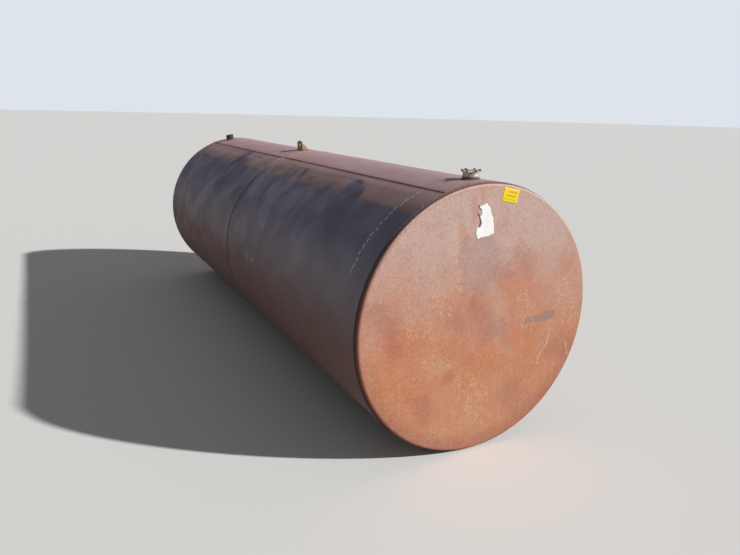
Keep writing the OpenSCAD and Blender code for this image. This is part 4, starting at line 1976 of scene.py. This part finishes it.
@dataclass
class HeadLabels:
    """Yellow film and torn paper on the front head."""

    yellow_size: Point = (0.083, 0.055)
    yellow_angle: float = 10.8
    yellow_middle: float = 0.5600
    paper_middle: Point = (-0.018, 1.058)
    paper_outline: tuple[Point, ...] = (
        (0.000, 0.076), (0.008, 0.066), (0.018, 0.059), (0.033, 0.020), (0.038, 0.017), (0.046, -0.024),
        (0.048, -0.055),
        (0.020, -0.065), (-0.019, -0.068), (-0.029, -0.073), (-0.038, -0.072), (-0.045, -0.047),
        (-0.043, -0.027),
        (-0.023, -0.023), (-0.018, -0.006), (-0.024, 0.004), (-0.031, 0.022), (-0.020, 0.029),
        (-0.023, 0.049),
        (-0.038, 0.062), (-0.021, 0.067), (-0.004, 0.073),
    )
    cell: float = 0.0022
    ragged: float = 0.0014
    clearance: float = 0.00025
    thick: float = 0.0002
    seed: int = 4

    def face_at(self, head: Piece, y: float, z: float) -> float:
        """Finds the head's face.

        Args:
            head: The front head.
            y: Place across the tank.
            z: Height.

        Returns:
            The face's station there.
        """
        hit, where, _, _ = head.ray_cast(Vector((HALF_LENGTH + 0.1, y, z)), Vector((-1.0, 0.0, 0.0)))
        return where.x if hit else HALF_LENGTH - 0.001

    def sheet(
        self, name: str, head: Piece, cells: list[Point], lift: Callable[[float, float], float],
        finish: Material, cell: float, turn: float, middle: Point,
    ) -> Piece:
        """Lays a thin sheet of small cells on the head.

        Args:
            name: The piece's name.
            head: The front head.
            cells: Middles of the cells in the sheet's own plane.
            lift: How far the sheet stands off the face at a place in its plane.
            finish: Its finish.
            cell: Size of a cell.
            turn: Turn of the sheet, in degrees, clockwise.
            middle: Where the sheet's middle lies on the face.

        Returns:
            The finished piece.
        """
        cos, sin = math.cos(math.radians(turn)), math.sin(math.radians(turn))
        index: dict[tuple[int, int], int] = {}
        verts: list[tuple[float, float, float]] = []
        faces = []
        for u, v in cells:
            loop = []
            for du, dv in ((-0.5, -0.5), (0.5, -0.5), (0.5, 0.5), (-0.5, 0.5)):
                key = (round(u / cell + du), round(v / cell + dv))
                if key not in index:
                    pu, pv = key[0] * cell, key[1] * cell
                    y = middle[0] + pu * cos + pv * sin
                    z = middle[1] - pu * sin + pv * cos
                    index[key] = len(verts)
                    verts.append((self.face_at(head, y, z) + self.clearance + lift(pu, pv), y, z))
                loop.append(index[key])
            faces.append(loop)
        piece = new_piece(name, np.array(verts), faces, finish)
        wall = piece.modifiers.new("wall", "SOLIDIFY")
        wall.thickness, wall.offset = self.thick, -1.0
        return claim(piece, "head_plate")

    def inside(self, u: float, v: float, outline: Sequence[Point]) -> bool:
        """Tells whether a place lies inside an outline.

        Args:
            u: Place across.
            v: Place up.
            outline: The outline's corners.

        Returns:
            True if it does.
        """
        found = False
        for (u1, v1), (u2, v2) in zip(outline, list(outline[1:]) + [outline[0]]):
            if (v1 > v) != (v2 > v) and u < (u2 - u1) * (v - v1) / (v2 - v1) + u1:
                found = not found
        return found

    def build(self, head: Piece, paper: Material) -> None:
        """Lays both labels on the head.

        Args:
            head: The front head.
            paper: The paper's finish.
        """
        bpy.context.view_layer.update()
        turn = math.radians(self.yellow_angle)
        middle = (self.yellow_middle * math.sin(turn), AXIS_Z + self.yellow_middle * math.cos(turn))
        width, height = self.yellow_size
        across = (math.cos(turn), -math.sin(turn))
        corner = (
            middle[0] - across[0] * width / 2 + across[1] * height / 2,
            middle[1] - across[1] * width / 2 - across[0] * height / 2,
        )
        film = StickerFinish(corner=corner, across=across, size=self.yellow_size).material()
        columns, rows = 20, 14
        cell_u = width / columns
        us = [(i - columns / 2 + 0.5) * cell_u for i in range(columns)]
        vs = [(j - rows / 2 + 0.5) * cell_u for j in range(rows)]
        cells = [(u, v) for u in us for v in vs]
        self.sheet("yellow_label", head, cells, lambda u, v: 0.0, film, cell_u, self.yellow_angle, middle)
        dice = random.Random(self.seed)
        torn = []
        for i in range(-26, 26):
            for j in range(-38, 38):
                u, v = (i + 0.5) * self.cell, (j + 0.5) * self.cell
                off = [dice.uniform(-self.ragged, self.ragged) for _ in range(2)]
                if self.inside(u + off[0], v + off[1], self.paper_outline):
                    torn.append((u, v))
        lift = lambda u, v: 0.0011 * min(1.0, max(0.0, -0.006 - u) / 0.02) * (0.6 + 0.4 * math.sin(90 * v))
        self.sheet("torn_label", head, torn, lift, paper, self.cell, 0.0, self.paper_middle)


# ---- Stage


@dataclass
class Studio:
    """Pale floor, one soft lamp and the camera."""

    eye: tuple[float, float, float] = (3.8511, -1.6364, 1.4937)
    aim: tuple[float, float, float] = (-0.85108, 0.45548, -0.26114)
    roll: float = 1.407
    lens: float = 36.0 * 621.28 / 740.0
    floor_colour: Colour = paint(236, 234, 230)
    floor_bounce: Colour = paint(150, 147, 142)
    sky_colour: Colour = paint(222, 228, 235)
    sky_light: float = 0.20
    key_from: tuple[float, float, float] = (0.90, 1.0, 0.74)
    key_light: float = 4.05

    def camera(self) -> None:
        """Sets the camera to the photograph's view."""
        data = bpy.data.cameras.new("camera")
        data.sensor_width, data.lens = 36.0, self.lens
        data.clip_end = 500.0
        eye = link("camera", data)
        forward = Vector(self.aim).normalized()
        right = forward.cross(Vector((0.0, 0.0, 1.0))).normalized()
        up = right.cross(forward)
        tilt = math.radians(self.roll)
        side = right * math.cos(tilt) + up * math.sin(tilt)
        top = up * math.cos(tilt) - right * math.sin(tilt)
        basis = Matrix((side, top, -forward)).transposed().to_4x4()
        eye.matrix_world = Matrix.Translation(self.eye) @ basis
        bpy.context.scene.camera = eye

    def lamp(self, name: str, toward: Sequence[float], strength: float, spread: float) -> None:
        """Adds a soft sun lamp.

        Args:
            name: The lamp's name.
            toward: Direction from the tank to the lamp.
            strength: Its strength.
            spread: Its apparent size, in degrees.
        """
        data = bpy.data.lights.new(name, "SUN")
        data.energy, data.angle = strength, math.radians(spread)
        lamp = link(name, data)
        lamp.rotation_mode = "QUATERNION"
        lamp.rotation_quaternion = Vector(toward).to_track_quat("Z", "Y")

    def seen(self, s: Sketch) -> Wire:
        """Tells camera, mirror and glass rays from the light that bounces."""
        path = s.node("ShaderNodeLightPath").outputs
        return s.most(path["Is Camera Ray"], s.most(path["Is Glossy Ray"], path["Is Transmission Ray"]))

    def world(self) -> None:
        """Lights the scene evenly and shows a pale background to the camera."""
        world = bpy.data.worlds.new("studio")
        bpy.context.scene.world = world
        world.use_nodes = True
        s = Sketch(world.node_tree)
        background = world.node_tree.nodes["Background"]
        strength = s.node("ShaderNodeMapRange")
        s.feed(strength.inputs["Value"], self.seen(s))
        strength.inputs["To Min"].default_value, strength.inputs["To Max"].default_value = self.sky_light, 1.0
        background.inputs["Color"].default_value = self.sky_colour
        s.feed(background.inputs["Strength"], strength.outputs[0])

    def floor(self) -> None:
        """Lays the pale floor."""
        s = Shader("studio_floor")
        material = s.finish(s.mix(self.seen(s), self.floor_bounce, self.floor_colour), 0.9, gloss=0.1)
        reach, steps = 120.0, 64
        turns = [2 * math.pi * i / steps for i in range(steps)]
        ring = [(reach * math.cos(turn), reach * math.sin(turn), 0.0) for turn in turns]
        slab = new_piece("studio_floor", np.array(ring), [list(range(steps))], material)

    def build(self) -> None:
        """Sets up the camera, the lamp, the world and the floor."""
        bpy.context.scene.view_settings.view_transform = "Standard"
        self.camera()
        self.lamp("key_lamp", self.key_from, self.key_light, 1.5)
        self.world()
        self.floor()


def dress_solids(pairs: dict[str, Material]) -> None:
    """Gives solids that stay as they are their finish.

    Args:
        pairs: Finish of each solid by node name.
    """
    for name, material in pairs.items():
        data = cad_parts[name].data
        data.materials.clear()
        data.materials.append(material)
        LOG.info("%s keeps its solid and takes %s", name, material.name)


def main() -> None:
    """Builds every sub-assembly in order."""
    logging.basicConfig(level=logging.INFO, format="%(name)s: %(message)s")
    Studio().build()
    plate = ShellFinish().material()
    dark = paint(84, 66, 62), paint(112, 76, 64), paint(132, 104, 94)
    worn = paint(146, 108, 100), paint(160, 112, 98), paint(172, 138, 128)
    kit = Kit(
        plate=plate,
        weld=SteelFinish("rusty_weld", *dark, 0.45, 0.35, dust_and_highlight_share=0.55).material(),
        # The girth bead's light top is a painted highlight.
        girth=SteelFinish("girth_weld_painted_highlight", *dark, 0.45, 0.35, paint(214, 166, 148), 1.0).material(),
        seam=SteelFinish("pitted_seam_weld", *worn, 0.45, 0.35, dust_and_highlight_share=0.20).material(),
        steel=SteelFinish(
            "dark_socket_steel", paint(58, 48, 46), paint(80, 58, 50), paint(100, 84, 78), 0.4,
        ).material(),
        lug=SteelFinish(
            "rusty_lug_plate", paint(168, 140, 114), paint(184, 120, 96), paint(208, 172, 150), 0.45, 0.25,
        ).material(),
        cast=CastFinish().material(),
        beads=BeadTree(),
    )
    front_course, rear_course = Shell().build(kit)
    heads = HeadTree()
    front = FlangedHead(Side.FRONT, "front_head").build(heads, HeadFinish("rusted_front_head").material())
    FlangedHead(Side.REAR, "rear_head").build(heads, HeadFinish("rusted_rear_head", marked=False).material())
    for name, way, course, seed in (
        ("front_head", 1.0, front_course, 37), ("rear_head", -1.0, rear_course, 41),
    ):
        path = ring_path(way * (COURSE_END + 0.0018), HEAD_R + 0.0020, way * 35.0)
        span = (0.0, 0.030) if way > 0.0 else (-0.030, 0.0)
        Weld(name, path, course, kit.weld, (0.0062, 0.0046, 0.0030), span, seed, 0.02).build(kit.beads)
    FillFitting().build(kit, front_course)
    LiftingLug().build(kit, rear_course)
    RearSocket().build(kit, rear_course)
    HeadLabels().build(front, PaperFinish().material())
    dress_solids({"fill_cap_gasket": SealFinish().material(), "rear_plug": kit.steel})


if __name__ == "__main__":
    main()
